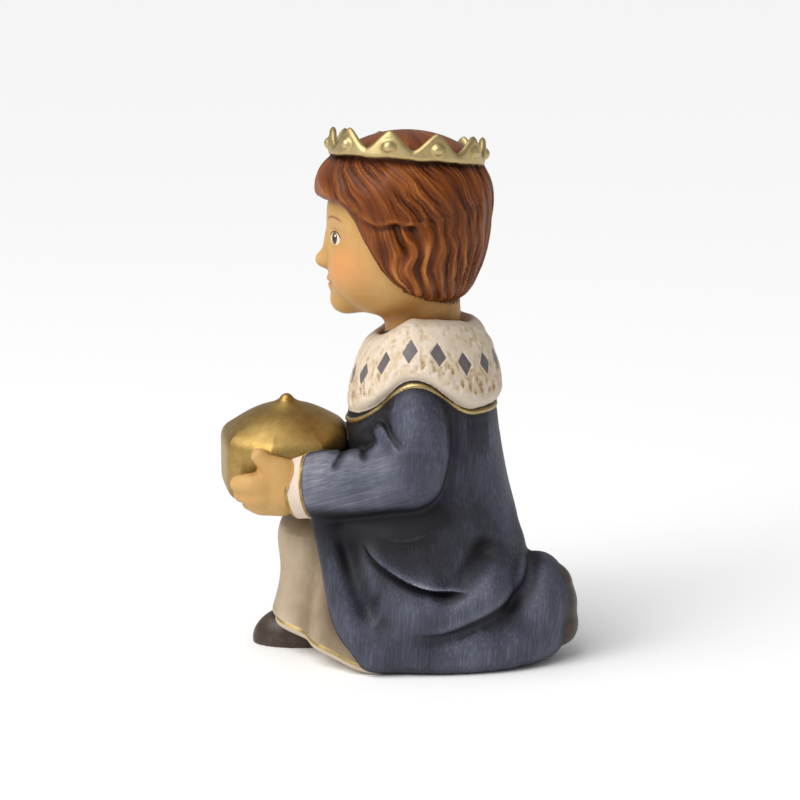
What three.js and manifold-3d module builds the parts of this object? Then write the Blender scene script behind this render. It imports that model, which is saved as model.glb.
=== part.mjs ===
// A kneeling child king, a porcelain nativity figurine cast in one piece, holding an eight-sided casket.
// Millimetres, +Z up, origin under the middle of the footprint. The figure faces -Y and its left side is +X.
// Every sub-part is a signed distance, negative inside, of a point. The distances are meshed, joined,
// cut flat at the ground and thinned to one closed solid.

import * as THREE from 'three';
import Module from 'manifold-3d';
import { SimplifyModifier } from 'three/addons/modifiers/SimplifyModifier.js';
import { mergeVertices } from 'three/addons/utils/BufferGeometryUtils.js';

// Driving dimensions
const TRIANGLES = 9300;
const LEFT = 1;
const RIGHT = -1;

// The casket: a low domed lid on eight flat sides, its near side dipped and turned a little
const CASKET = {
  middle: [0, -22.2, 44.2], acrossFlats: 25.4, wall: 12.2, footRadius: 3.6, footFlat: 7.5, footSteps: 3,
  domeRise: 5.8, rimDrop: 1.2, rimFrom: 0.9, knobRise: 2.0, knobRadius: 2.8, tilt: 6, turn: 11.5,
};

// The crown: a band with ten points and a bead under each, leaning back and to the right
const CROWN = {
  middle: [0, 1.2, 97.5], radius: 14.45, thickness: 1.4, band: 2.0, rise: 3.7, pointHalfWidth: 4.5,
  points: 10, firstPoint: -14, leanBack: 4, leanRight: 5.5, bead: 1.15, beadHeight: 2.3,
};

// The collar: a fur cape, its lower edge arched over each arm and drooping at front and back
const COLLAR = {
  middleY: 4.9, widen: 0.9, reach: 15.2, flare: 5.4, frontFlare: 1.0, arch: 57.0, frontDrop: 9.6, backDrop: 6.1,
  top: 68.3, topFront: 4.2, topBack: 1.0, neckCup: [9.2, 9.4, 4.8],
};

// The line under the collar: how far below its edge, half its width, and how far it stands out of the coat
const TRIM = { below: 0.55, half: 0.6, height: 0.5, innerRadius: 9.5 };

// The wrist: where each sleeve ends in its turned lining, and the way the forearm points there
const WRIST = { middle: [10.5, -16.9, 35.9], axis: [-0.28, -0.95, -0.12], lining: 6.45, liningLength: 3.8 };
const RIGHT_ARM_LIFT = 0.8;
const HEM_ROUNDING = 3;

// The body under the coat in level sections: height, front, back, half width at the left, at the right
const BODY = [
  [-4, -6.5, 27.6, 18.5, 18.0], [4, -7.0, 27.6, 18.5, 18.0], [12, -8.0, 27.0, 17.6, 17.2],
  [20, -9.0, 25.5, 16.0, 16.2], [26, -9.4, 23.9, 14.8, 15.0], [35, -9.6, 21.5, 14.0, 14.0],
  [44, -10.5, 19.7, 14.2, 14.2], [50, -9.8, 18.8, 14.2, 14.2], [56, -7.4, 17.2, 13.6, 13.6],
  [61, -5.0, 15.0, 11.2, 11.2], [65, -2.5, 12.5, 8.0, 8.0], [68, 0, 10, 5, 5],
];
const BODY_SQUARENESS = 2.25;

// Folds of the coat's left side and of the sleeves, as points (y, z)
const FOLDS = {
  deepCrease: [[-7.4, 25.8], [-5.6, 23.0], [-2.2, 20.4], [2.4, 18.0], [7.2, 16.6], [10.8, 16.2], [13.4, 16.6]],
  rightWing: [[7.0, 16.4], [10.0, 18.0], [13.0, 21.4], [15.6, 24.4]],
  underSleeve: [[-5.5, 26.8], [-1.0, 25.6], [3.5, 26.0], [8.2, 28.6]],
  lowerCrease: [
    [-0.5, 9.2], [4.8, 8.1], [9.6, 8.4], [15.4, 10.9], [20.7, 13.6], [24.0, 17.0], [25.2, 21.5], [26, 28],
  ],
  frontValley: [[-11.4, 28.5], [-10.6, 23.5], [-9.0, 18.2], [-6.6, 13.6], [-3.4, 11.6]],
  besideArm: [[11.0, 52.0], [10.6, 46.6], [9.4, 41.6]],
  elbowTuck: [[1.8, 43.4], [0.2, 45.2], [-1.4, 47.0], [-3.2, 48.8], [-5.6, 49.8]],
  elbowPleat: [[-7.0, 41.6], [-6.6, 43.4], [-5.8, 45.0], [-5.0, 46.8]],
  forearmPleat: [[-12.9, 40.0], [-11.4, 42.0], [-9.8, 44.2]],
};

// The edge of the hair seen from the side, from the brow down past the ear to the nape, as points (y, z)
const HAIRLINE = [
  [-19, 90.6], [-15.4, 90.6], [-12.4, 90.4], [-10.2, 89.2], [-8.6, 87.2], [-7.2, 84.2], [-5.6, 80.8],
  [-3.8, 78.0], [-1.2, 75.4], [2.0, 73.2], [5.6, 71.6], [10.0, 70.6], [20, 70.2],
];

// Partings between the locks, as points (s, z): s is the way round the head in millimetres, 0 over the ear
// and positive to the back
const HEAD_REACH = 16;
const HEAD_MIDDLE_Y = 1.6;
const UPPER_LOCKS = [
  [[-20.4, 98.5], [-17.6, 96.2], [-15.6, 93.6], [-13.6, 90.8], [-11.6, 88.4]],
  [[-17.4, 98.5], [-14.4, 96.2], [-11.8, 93.5], [-9.8, 90.8], [-8.0, 87.6]],
  [[-14.2, 98.5], [-11.0, 96.0], [-8.3, 93.8], [-6.2, 91.4], [-4.6, 88.0]],
  [[-10.9, 98.5], [-7.6, 96.2], [-4.9, 94.0], [-2.6, 91.4], [-1.0, 88.2]],
];
const LOWER_LOCKS = [
  [[-11.6, 88.4], [-10.0, 85.8], [-8.8, 83.2], [-7.4, 80.2], [-5.0, 77.4], [-2.4, 74.8]],
  [[-8.0, 87.2], [-6.6, 83.6], [-5.3, 80.7], [-3.3, 77.6], [-0.6, 74.0]],
  [[-5.0, 86.6], [-3.9, 83.5], [-3.0, 80.7], [-1.2, 77.3], [1.2, 73.2]],
  [[-2.2, 86.6], [-1.0, 83.6], [-0.6, 80.7], [0.2, 77.5], [2.8, 72.4]],
  [[0.4, 86.8], [1.8, 84.2], [2.5, 81.4], [2.2, 78.5], [3.2, 75.5], [5.6, 71.0]],
];
const BACK_LOCKS = [
  [[-6.0, 98.4], [0.6, 93.3], [3.0, 90.7], [4.9, 87.2], [5.6, 82.8], [5.2, 77.7], [8.6, 70.6]],
  [[-1.5, 98.2], [4.0, 92.9], [6.2, 90.3], [7.7, 86.5], [8.2, 81.4], [8.3, 76.1], [11.2, 70.4]],
  [[2.8, 98.0], [7.6, 91.5], [9.6, 87.0], [10.6, 81.8], [11.0, 76.6], [13.0, 70.2]],
  [[7.3, 97.8], [10.8, 91.0], [12.6, 86.8], [13.3, 81.6], [13.6, 77.0], [14.6, 70.2]],
  [[12.4, 97.5], [14.6, 90.7], [15.8, 86.5], [16.2, 81.9], [16.2, 77.4], [16.8, 70.0]],
  [[17.5, 97.2], [18.6, 89.7], [19.6, 84.8], [19.8, 79.4], [20.0, 70.0]],
  [[22.6, 97.2], [23.8, 86.0], [24.0, 70.0]],
];
const LEDGE = [[-9.6, 89.6], [-8.0, 87.6], [-6.2, 86.5], [-2.2, 87.5], [2.0, 87.0], [4.0, 88.4]];
const PARTING = { width: 1.0, depth: 0.6 };

const PORCELAIN = { color: 0x6a7086, roughness: 0.6, metalness: 0 };

// Arithmetic
const radians = THREE.MathUtils.degToRad;
const ramp = (low, high, x) => THREE.MathUtils.smoothstep(x, low, high);

function smoothMin(a, b, blend) {
  const h = Math.max(blend - Math.abs(a - b), 0) / blend;
  return Math.min(a, b) - (h * h * blend) / 4;
}

function smoothMax(a, b, blend) {
  return -smoothMin(-a, -b, blend);
}

// Turns (a, b) by some degrees in their plane.
function turned(a, b, degrees) {
  const c = Math.cos(radians(degrees));
  const s = Math.sin(radians(degrees));
  return [a * c - b * s, a * s + b * c];
}

function cubic(a, b, c, d, t) {
  return 0.5 * (2 * b + (c - a) * t + (2 * a - 5 * b + 4 * c - d) * t * t + (3 * b - a - 3 * c + d) * t ** 3);
}

// A smooth run of points of any size through the given ones.
function smoothPath(points, steps) {
  const last = points.length - 1;
  const beyond = (end, inner) => end.map((value, k) => 2 * value - inner[k]);
  const all = [beyond(points[0], points[1]), ...points, beyond(points[last], points[last - 1])];
  const path = [];
  for (let i = 0; i < last; i++) {
    for (let s = 0; s < steps; s++) {
      path.push(all[i].map((a, k) => cubic(a, all[i + 1][k], all[i + 2][k], all[i + 3][k], s / steps)));
    }
  }
  path.push(points[last]);
  return path;
}

// Values at height z from rows (height, values...) by a smooth curve through them.
function section(rows, z) {
  const last = rows.length - 2;
  const i = Math.max(0, Math.min(last, rows.findIndex((row) => row[0] > z) - 1));
  const index = z >= rows[rows.length - 1][0] ? last : i;
  const t = THREE.MathUtils.clamp((z - rows[index][0]) / (rows[index + 1][0] - rows[index][0]), 0, 1);
  const row = (k) => rows[Math.max(0, Math.min(rows.length - 1, k))];
  return rows[0].slice(1).map((_, k) =>
    cubic(row(index - 1)[k + 1], row(index)[k + 1], row(index + 1)[k + 1], row(index + 2)[k + 1], t));
}

// Basic solids
function ellipsoid([x, y, z], [cx, cy, cz], [rx, ry, rz], frontUp = 0) {
  const [dy, dz] = turned(y - cy, z - cz, frontUp);
  const near = Math.hypot((x - cx) / rx, dy / ry, dz / rz);
  const slope = Math.hypot((x - cx) / rx ** 2, dy / ry ** 2, dz / rz ** 2);
  return slope < 1e-6 ? -Math.min(rx, ry, rz) : (near * (near - 1)) / slope;
}

// A round cone from a to b, given as (x, y, z, radius).
function limb(p, a, b) {
  const dx = b[0] - a[0];
  const dy = b[1] - a[1];
  const dz = b[2] - a[2];
  const along = (p[0] - a[0]) * dx + (p[1] - a[1]) * dy + (p[2] - a[2]) * dz;
  const t = Math.min(1, Math.max(0, along / (dx * dx + dy * dy + dz * dz)));
  const gap = Math.hypot(p[0] - a[0] - t * dx, p[1] - a[1] - t * dy, p[2] - a[2] - t * dz);
  return gap - a[3] - (b[3] - a[3]) * t;
}

// A limb that bends through points (x, y, z, radius); made once, then asked for many distances.
function tube(points) {
  const path = smoothPath(points, 3);
  return (p) => {
    let nearest = Infinity;
    for (let i = 1; i < path.length; i++) nearest = Math.min(nearest, limb(p, path[i - 1], path[i]));
    return nearest;
  };
}

// The distance from (u, v) to a path in the plane, how far along the path its nearest place is, and whether
// (u, v) is at the left of the path there.
function pathDistance(u, v, path) {
  let nearest = Infinity;
  let place = 0;
  let left = false;
  for (let i = 1; i < path.length; i++) {
    const [a, b] = path[i - 1];
    const [c, d] = [path[i][0] - a, path[i][1] - b];
    const t = Math.min(1, Math.max(0, ((u - a) * c + (v - b) * d) / (c * c + d * d)));
    const gap = Math.hypot(u - a - t * c, v - b - t * d);
    if (gap < nearest) {
      nearest = gap;
      place = (i - 1 + t) / (path.length - 1);
      left = c * (v - b) > d * (u - a);
    }
  }
  return [nearest, place, left];
}

// A groove along a path, deepest at its middle; a negative depth raises a ridge.
function groove(points, width, depth) {
  const path = smoothPath(points, 4);
  return (u, v) => {
    const [gap, place] = pathDistance(u, v, path);
    const fade = 0.85 * ramp(0, 0.25, place) * ramp(0, 0.25, 1 - place) + 0.15;
    return depth * fade * Math.exp(-((gap / width) ** 2));
  };
}

// A fold that lies over what is on the other side of its path: a swelling at the left of the path's direction,
// a tuck at its right; edge is how soft the step between them is.
function overlap(points, swell, swellWidth, tuck, tuckWidth, edge) {
  const path = smoothPath(points, 4);
  return (u, v) => {
    const [gap, place, left] = pathDistance(u, v, path);
    const fade = ramp(0, 0.3, place) * ramp(0, 0.3, 1 - place);
    const over = -swell * Math.exp(-((gap / swellWidth) ** 2));
    const under = tuck * Math.exp(-gap / tuckWidth);
    const share = ramp(-edge, edge, left ? gap : -gap);
    return fade * (share * over + (1 - share) * under);
  };
}

// The coat
const calf = tube([[12.4, -0.5, 4.4, 8.0], [12.4, 8, 3.4, 7.8], [9.5, 19, 4.4, 8.4], [6.5, 24, 6.4, 8.6]]);
const rightHang = tube([[-8.6, -9, 18, 8.6], [-8.8, -6.5, 9, 9.4], [-8.6, -4, 1, 10.2]]);
const leftEdge = tube([
  [11.2, -15.2, 31, 2.4], [12.5, -13.3, 24, 2.8], [14, -11.5, 17, 3.1], [15.6, -8.9, 9.5, 3.5], [16.4, -5, 3.6, 3.8],
]);
const rightEdge = tube([[-12, -15, 29, 2.8], [-13.8, -14.4, 20, 3.1], [-14.6, -12.8, 10, 3.5], [-14.8, -10, 2, 4]]);
const upperArm = tube([[10.2, 3.2, 57.4, 5], [12.6, 3.4, 50, 5.9], [14, 3.2, 43.4, 6.4], [14.3, 1.6, 39, 6.7]]);
const forearm = tube([[14.3, 1.2, 38.9, 6.7], [13.4, -6.5, 37.2, 6.5], [10.8, -17, 35.9, 6.6], [9.6, -20, 35.5, 6.6]]);
const elbowRoll = tube([[13.5, -3.2, 46.6, 2.0], [14.4, -2.2, 44.6, 2.6], [14.6, -2.6, 41.6, 2.8]]);
const creases = [
  overlap(FOLDS.deepCrease, 0.9, 2.6, 2.2, 2.0, 1.4), groove(FOLDS.rightWing, 2.4, 1.3),
  overlap(FOLDS.underSleeve, 0.35, 2.4, 0.7, 2.0, 1.2), groove(FOLDS.frontValley, 2.9, 1.6),
];
const besideArm = groove(FOLDS.besideArm, 1.6, 0.5);
const lowerCrease = overlap(FOLDS.lowerCrease, 0.6, 3.4, 2.0, 2.8, 1.6);
const sleevePleats = [
  overlap(FOLDS.elbowTuck, 0.35, 1.5, 0.8, 1.3, 1.2), groove(FOLDS.elbowPleat, 1.1, 0.8),
  groove(FOLDS.forearmPleat, 1.0, 0.6),
];

function body([x, y, z]) {
  const [front, back, left, right] = section(BODY, z);
  const middle = (front + back) / 2;
  const across = Math.abs(x / (x > 0 ? left : right)) ** BODY_SQUARENESS;
  const along = Math.abs((y - middle) / ((back - front) / 2)) ** BODY_SQUARENESS;
  const reach = Math.max((across + along) ** (1 / BODY_SQUARENESS), 1e-3);
  return 0.95 * Math.hypot(x, y - middle) * (1 - 1 / reach);
}

function kneelingLeg(p) {
  const thigh = limb(p, [10.8, 13, 14.5, 9], [11.8, 3, 12.2, 8.6]);
  const lobe = ellipsoid(p, [5.2, 24.7, 10.8], [10.4, 8.5, 9.8]);
  return [thigh, calf(p), smoothMin(lobe, ellipsoid(p, [5, 27.6, 13], [8.8, 5.2, 7.6]), 3)];
}

function skirt(p) {
  const [thigh, shin, footLobe] = kneelingLeg(p);
  let f = smoothMin(body(p), limb(p, [7.4, -8, 27, 6.6], [8, 6, 26, 7.6]), 5);
  f = smoothMin(f, ellipsoid(p, [8.6, -2, 14], [9.6, 12.5, 17]), 4);
  f = smoothMin(f, thigh, 3.5);
  f = smoothMin(f, shin, 2);
  f = smoothMin(f, footLobe, 1.2);
  f = smoothMin(f, limb(p, [-8.5, 6, 21, 9.5], [-8.2, -9, 20.5, 8.6]), 5);
  f = smoothMin(f, rightHang(p), 4);
  f = smoothMin(f, leftEdge(p), 2.2);
  return smoothMin(f, rightEdge(p), 3);
}

function coatFolds([x, y, z]) {
  const leftSide = ramp(6, 11, x);
  const cuts = creases.reduce((sum, crease) => sum + crease(y, z), 0);
  const arm = besideArm(y, z) * ramp(12, 14, x);
  return leftSide * (cuts + arm) + ramp(1, 6, x) * lowerCrease(y, z);
}

function mirrored([x, y, z], side) {
  return side === LEFT ? [x, y, z] : [-x, y, z - RIGHT_ARM_LIFT];
}

// How far a point lies beyond the wrist, and its distance from the wrist's axis.
function wristPlace(q) {
  const d = q.map((value, k) => value - WRIST.middle[k]);
  const length = Math.hypot(...WRIST.axis);
  const along = d.reduce((sum, value, k) => sum + (value * WRIST.axis[k]) / length, 0);
  return [along, Math.sqrt(Math.max(d[0] ** 2 + d[1] ** 2 + d[2] ** 2 - along ** 2, 0))];
}

// Upper arm and forearm, with a roll of cloth squeezed up at the inside of the elbow.
function sleeve(p, side) {
  const q = mirrored(p, side);
  const pleats = ramp(8, 11, q[0]) * sleevePleats.reduce((sum, pleat) => sum + pleat(q[1], q[2]), 0);
  const arm = smoothMin(smoothMin(upperArm(q), forearm(q), 2), elbowRoll(q), 1.2) + pleats;
  return smoothMax(arm, wristPlace(q)[0], 0.8);
}

function coat(p) {
  let f = smoothMax(skirt(p) + coatFolds(p), -p[2] - 0.15, HEM_ROUNDING);
  f = smoothMin(f, sleeve(p, LEFT), 1.4);
  return smoothMin(f, sleeve(p, RIGHT), 1.4);
}

function cuff(p, side) {
  const [along, radius] = wristPlace(mirrored(p, side));
  return smoothMax(radius - WRIST.lining, Math.abs(along) - WRIST.liningLength, 0.9);
}

// The hands, thumb up and fingers forward under the casket's edge
const thumb = tube([[11.8, -18.4, 37, 4], [13.4, -22.6, 39.6, 2.9], [13.7, -26.6, 42, 1.9]]);
const fingers = [
  tube([[12.2, -24, 36.4, 2.9], [13.5, -28, 36.6, 2.3], [12, -31, 36.4, 1.7]]),
  tube([[12.2, -24, 34.4, 2.8], [12.9, -27.6, 34.1, 2.2], [11.2, -30.4, 34.2, 1.7]]),
  tube([[11.6, -23.4, 32.8, 2.6], [11.6, -26.6, 32.2, 2.1], [10, -29, 32.3, 1.6]]),
];

function hand(p, side) {
  const q = mirrored(p, side);
  const wrist = limb(q, [9.6, -16.5, 35.8, 5], [10.6, -22.6, 35.2, 4.9]);
  const palm = smoothMin(wrist, limb(q, [11, -23, 35, 4.6], [11.8, -26, 35.2, 3.4]), 1);
  const grip = fingers.reduce((f, finger) => smoothMin(f, finger(q), 0.7), Infinity);
  return smoothMin(smoothMin(palm, grip, 1.2), thumb(q), 1.2);
}

// The tunic, drawn over the raised right knee; its hem rises over the front foot
const kneeFall = tube([[-5, -14.9, 21, 9], [-4, -14.2, 11, 10.4], [-3, -14.2, 1, 12.4]]);
const PLEAT = { depth: 0.4, spacing: 6.4, slant: 0.16 };
const lapFall = tube([[4, -6, 20, 8.6], [5.6, -6.2, 9, 10.8], [6.6, -6.4, 1, 11.8]]);

function tunic(p) {
  const [x, y, z] = p;
  const around = 13 * Math.atan2(x + 2.5, -(y + 3));
  const wave = Math.sin(((around + PLEAT.slant * z) * 2 * Math.PI) / PLEAT.spacing);
  const pleat = PLEAT.depth * ramp(6, 23, 29 - z) * wave;
  let f = smoothMin(ellipsoid(p, [-5, -13.4, 22.5], [9.2, 10.2, 9]), kneeFall(p), 3);
  f = smoothMin(f, lapFall(p), 4) + pleat;
  const hem = 0.95 * (6.3 - z - 0.3 * (y + 26.5));
  return smoothMax(f, hem, 1.2);
}

function rightShoe(p) {
  return ellipsoid(p, [-5, -20, 1.5], [5.4, 9.7, 6.4], -6);
}

// The left shoe's sole faces back, toes on the ground.
function leftShoe(p) {
  const toe = ellipsoid(p, [5, 30.2, 6.4], [5.4, 5.1, 4.2], 15);
  return smoothMin(toe, limb(p, [5.1, 29.6, 8.4, 5.1], [5.5, 28.5, 14.8, 4.9]), 1.5);
}

function collarEdge(angle) {
  const back = Math.sin(angle);
  return COLLAR.arch - COLLAR.frontDrop * ramp(0.15, 1.1, -back) - COLLAR.backDrop * ramp(-0.1, 0.7, back);
}

function collarTop(angle) {
  const back = Math.sin(angle);
  return COLLAR.top - COLLAR.topFront * ramp(0.2, 1.05, -back) - COLLAR.topBack * ramp(0.2, 0.9, back);
}

function collarPlace([x, y]) {
  const across = x * COLLAR.widen;
  const along = y - COLLAR.middleY;
  return [Math.atan2(along, across), Math.hypot(across, along)];
}

function collar(p) {
  const [angle, radius] = collarPlace(p);
  const side = Math.cos(angle) ** 2;
  const low = collarEdge(angle);
  const top = collarTop(angle);
  const height = THREE.MathUtils.clamp((p[2] - low) / (top - low), -0.2, 1.05);
  const sweep = Math.sign(height) * Math.abs(height) ** (2.4 - 0.7 * side);
  const flare = COLLAR.flare - COLLAR.frontFlare * Math.max(-Math.sin(angle), 0);
  const outer = COLLAR.reach + 0.5 * side - flare * sweep;
  const edged = smoothMax(0.82 * (radius - outer), 0.9 * (low - p[2]), 2.8);
  const cape = smoothMax(edged, 0.95 * (p[2] - top), 2);
  return smoothMax(cape, -ellipsoid(p, [0, COLLAR.middleY, top + 1], COLLAR.neckCup), 0.8);
}

// A thin raised line on the coat, all the way round under the collar's edge
function trim(p) {
  const [angle, radius] = collarPlace(p);
  const line = Math.max(Math.abs(p[2] - collarEdge(angle) + TRIM.below) - TRIM.half, TRIM.innerRadius - radius);
  return smoothMax(line, coat(p) - TRIM.height, 0.4);
}

// The head, in a child's plain proportions
function head(p) {
  const [x, y, z] = p;
  const q = [Math.abs(x), y, z];
  let f = smoothMin(ellipsoid(p, [0, 1, 87], [14.4, 15.2, 15]), ellipsoid(p, [0, -2.2, 77.2], [12.4, 11.6, 9.8]), 5);
  f = smoothMin(f, ellipsoid(q, [6.2, -8, 76.4], [4.8, 4.6, 4.6]), 3);
  f = smoothMin(f, ellipsoid(p, [0, -10.6, 70.4], [3.4, 2.9, 2.6]), 3);
  f = smoothMin(f, limb(p, [0, 4.6, 60, 7.6], [0, 4.4, 72, 7.2]), 2.5);
  const socket = ((q[0] - 5.6) / 2.6) ** 2 + ((z - 83.2) / 2) ** 2;
  f += 0.7 * Math.exp(-socket) * ramp(5, 9, -y);
  f = smoothMin(f, limb(p, [0, -13.2, 83, 0.8], [0, -14.3, 78.8, 1.1]), 1.6);
  f = smoothMin(f, ellipsoid(p, [0, -14.6, 78.3], [1.7, 1.8, 1.5]), 1.4);
  f = smoothMin(f, ellipsoid(p, [0, -12.6, 74.7], [2.5, 1.6, 0.9]), 1);
  return smoothMin(f, ellipsoid(p, [0, -12.3, 73.3], [1.9, 1.5, 0.9]), 1);
}

// The hair, a cap of locks combed down from the crown; the upper locks end in a ledge, and the lower ones come
// out from under it
const locks = [...UPPER_LOCKS, ...LOWER_LOCKS, ...BACK_LOCKS];
const partings = locks.map((points) => groove(points, PARTING.width, PARTING.depth));
const ledge = overlap(LEDGE, 0.5, 2.2, 0.5, 1.3, 0.8);

function belowHairline(y, z) {
  const next = HAIRLINE.findIndex((point) => point[0] > y);
  const i = next < 0 ? HAIRLINE.length - 1 : Math.max(next, 1);
  const [[ya, za], [yb, zb]] = [HAIRLINE[i - 1], HAIRLINE[i]];
  const edge = za + ((zb - za) * (y - ya)) / (yb - ya);
  const gap = pathDistance(y, z, HAIRLINE)[0];
  return z < edge ? gap : -gap;
}

function hair(p) {
  const [x, y, z] = p;
  let f = smoothMin(ellipsoid(p, [0, 1.5, 87], [15.8, 16.2, 15]), ellipsoid(p, [0, 3.8, 78.8], [13.6, 11.5, 11.2]), 5);
  f = smoothMin(f, ellipsoid(p, [0, 0.9, 92.6], [15.7, 16.0, 10.2]), 4);
  f = smoothMin(f, ellipsoid([Math.abs(x), y, z], [12, 2.2, 80.5], [3.6, 6.2, 7]), 4);
  f = smoothMin(f, ellipsoid(p, [0, -8.4, 92.8], [11.6, 7.1, 5.2]), 4);
  const around = HEAD_REACH * Math.atan2(y - HEAD_MIDDLE_Y, Math.abs(x));
  const cuts = partings.reduce((sum, parting) => Math.max(sum, parting(around, z)), 0);
  f += (cuts - 0.25) * ramp(0, 5, 101.5 - z) + ledge(around, z);
  return smoothMax(f, belowHairline(y, z), 1.6);
}

function crown([px, py, pz]) {
  const [cx, cy, cz] = CROWN.middle;
  const [y, lifted] = turned(py - cy, pz - cz, CROWN.leanBack);
  const [x, z] = turned(px - cx, lifted, -CROWN.leanRight);
  const sector = (2 * Math.PI) / CROWN.points;
  const turn = Math.atan2(y, x) - radians(CROWN.firstPoint) + sector / 2;
  const across = CROWN.radius * (THREE.MathUtils.euclideanModulo(turn, sector) - sector / 2);
  const radius = Math.hypot(x, y);
  const slope = Math.max(1 - Math.abs(across) / CROWN.pointHalfWidth, 0);
  const rim = CROWN.band + CROWN.rise * (0.4 * slope + 0.6 * ramp(0, 1, slope));
  const wall = Math.abs(radius - CROWN.radius) - CROWN.thickness / 2;
  const f = smoothMax(smoothMax(wall, -z, 0.8), 0.7 * (z - rim), 0.8);
  const bead = Math.hypot(across, radius - CROWN.radius - 0.5, z - CROWN.beadHeight) - CROWN.bead;
  return smoothMin(f, bead, 0.4);
}

// Meshing: one vertex in each cell that the surface crosses, one quad across each crossed grid edge.
// A cell face with only two opposite corners inside would give an edge with four quads, so it is filled first.
function fillSaddles(field, stride) {
  const planes = [[stride[0], stride[1]], [stride[1], stride[2]], [stride[2], stride[0]]];
  let again = true;
  while (again) {
    again = false;
    for (let n = 0; n < field.length; n++) {
      for (const [u, v] of planes) {
        const inside = [n, n + u, n + u + v, n + v].map((at) => field[at] < 0);
        if (inside[0] !== inside[2] || inside[1] !== inside[3] || inside[0] === inside[1]) continue;
        field[inside[0] ? n + u : n] = -0.05;
        again = true;
      }
    }
  }
}

function surface(distance, low, high, cell) {
  const count = low.map((value, k) => Math.ceil((high[k] - value) / cell) + 1);
  const stride = [1, count[0], count[0] * count[1]];
  const field = new Float32Array(count[0] * count[1] * count[2]);
  const cells = new Int32Array(field.length).fill(-1);
  const vertices = [];
  const indices = [];
  for (let n = 0; n < field.length; n++) {
    const steps = [n % count[0], Math.floor(n / stride[1]) % count[1], Math.floor(n / stride[2])];
    const border = steps.some((step, k) => step === 0 || step === count[k] - 1);
    field[n] = Math.max(distance(steps.map((step, k) => low[k] + step * cell)), border ? cell / 2 : -Infinity);
  }
  fillSaddles(field, stride);
  const corners = [0, 1, 2, 3, 4, 5, 6, 7].map((c) => [c & 1, (c >> 1) & 1, c >> 2]);
  const edges = corners.flatMap((a, i) => corners.map((b, j) => [i, j])
    .filter(([, j]) => j > i && Math.hypot(...a.map((v, k) => v - corners[j][k])) === 1));
  for (let k = 0; k < count[2] - 1; k++) {
    for (let j = 0; j < count[1] - 1; j++) {
      for (let i = 0; i < count[0] - 1; i++) {
        const base = i + j * stride[1] + k * stride[2];
        const values = corners.map((c) => field[base + c[0] + c[1] * stride[1] + c[2] * stride[2]]);
        const crossed = edges.filter(([a, b]) => values[a] < 0 !== values[b] < 0);
        if (crossed.length === 0) continue;
        const sum = [0, 0, 0];
        for (const [a, b] of crossed) {
          const t = values[a] / (values[a] - values[b]);
          for (let d = 0; d < 3; d++) sum[d] += corners[a][d] + t * (corners[b][d] - corners[a][d]);
        }
        cells[base] = vertices.length / 3;
        const corner = [i, j, k];
        for (let d = 0; d < 3; d++) vertices.push(low[d] + cell * (corner[d] + sum[d] / crossed.length));
      }
    }
  }
  for (let n = 0; n < field.length; n++) {
    for (let axis = 0; axis < 3; axis++) {
      const other = n + stride[axis];
      if (other >= field.length || field[n] < 0 === field[other] < 0) continue;
      const [u, v] = [stride[(axis + 1) % 3], stride[(axis + 2) % 3]];
      const quad = [cells[n - u - v], cells[n - v], cells[n], cells[n - u]];
      if (field[n] >= 0) quad.reverse();
      indices.push(quad[0], quad[1], quad[2], quad[0], quad[2], quad[3]);
    }
  }
  const geometry = new THREE.BufferGeometry();
  geometry.setAttribute('position', new THREE.Float32BufferAttribute(vertices, 3));
  geometry.setIndex(indices);
  return geometry;
}

// The casket: one eighth of its outline turned eight times, with a round knob
const LID_SHARES = [1, 0.985, 0.93, 0.8, 0.6, 0.4, 0.2];
function casketGeometry() {
  const corner = CASKET.acrossFlats / 2 / Math.cos(Math.PI / 8);
  const profile = [new THREE.Vector2(0, -CASKET.wall), new THREE.Vector2(CASKET.footFlat, -CASKET.wall)];
  for (let step = 0; step <= CASKET.footSteps; step++) {
    const angle = (step / CASKET.footSteps) * (Math.PI / 2);
    const out = corner - CASKET.footRadius * (1 - Math.sin(angle));
    profile.push(new THREE.Vector2(out, CASKET.footRadius * (1 - Math.cos(angle)) - CASKET.wall + 0.1));
  }
  for (const share of LID_SHARES) {
    const edge = CASKET.rimDrop * ramp(CASKET.rimFrom, 1, share) ** 2;
    profile.push(new THREE.Vector2(corner * share, CASKET.domeRise * (1 - (share * 0.98) ** 2) - edge));
  }
  profile.push(new THREE.Vector2(0, CASKET.domeRise));
  const box = new THREE.LatheGeometry(profile, 8, Math.PI / 8);
  return box.rotateX(Math.PI / 2);
}

function knobGeometry() {
  const { domeRise, knobRise, knobRadius } = CASKET;
  const outline = [
    [0, -2], [knobRadius, -2], [knobRadius, -0.3], [knobRadius * 0.75, 0.6], [knobRadius * 0.35, 1.4],
    [0, knobRise],
  ];
  const profile = outline.map(([out, up]) => new THREE.Vector2(out, domeRise + up));
  return new THREE.LatheGeometry(profile, 12).rotateX(Math.PI / 2);
}

function placeCasket(geometry) {
  geometry.rotateZ(radians(CASKET.turn));
  geometry.rotateY(radians(CASKET.tilt));
  return geometry.translate(...CASKET.middle);
}

// Joining
const wasm = await Module();
wasm.setup();

function solid(geometry) {
  const bare = geometry.clone();
  bare.deleteAttribute('normal');
  bare.deleteAttribute('uv');
  const merged = mergeVertices(bare, 1e-4);
  const vertProperties = new Float32Array(merged.getAttribute('position').array);
  const triVerts = new Uint32Array(merged.getIndex().array);
  return new wasm.Manifold(new wasm.Mesh({ numProp: 3, vertProperties, triVerts }));
}

// Thinning can leave a crumb that touches the rest at a point only, so the largest piece is kept.
function largest(manifold) {
  return manifold.decompose().reduce((most, piece) => (piece.volume() > most.volume() ? piece : most));
}

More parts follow.
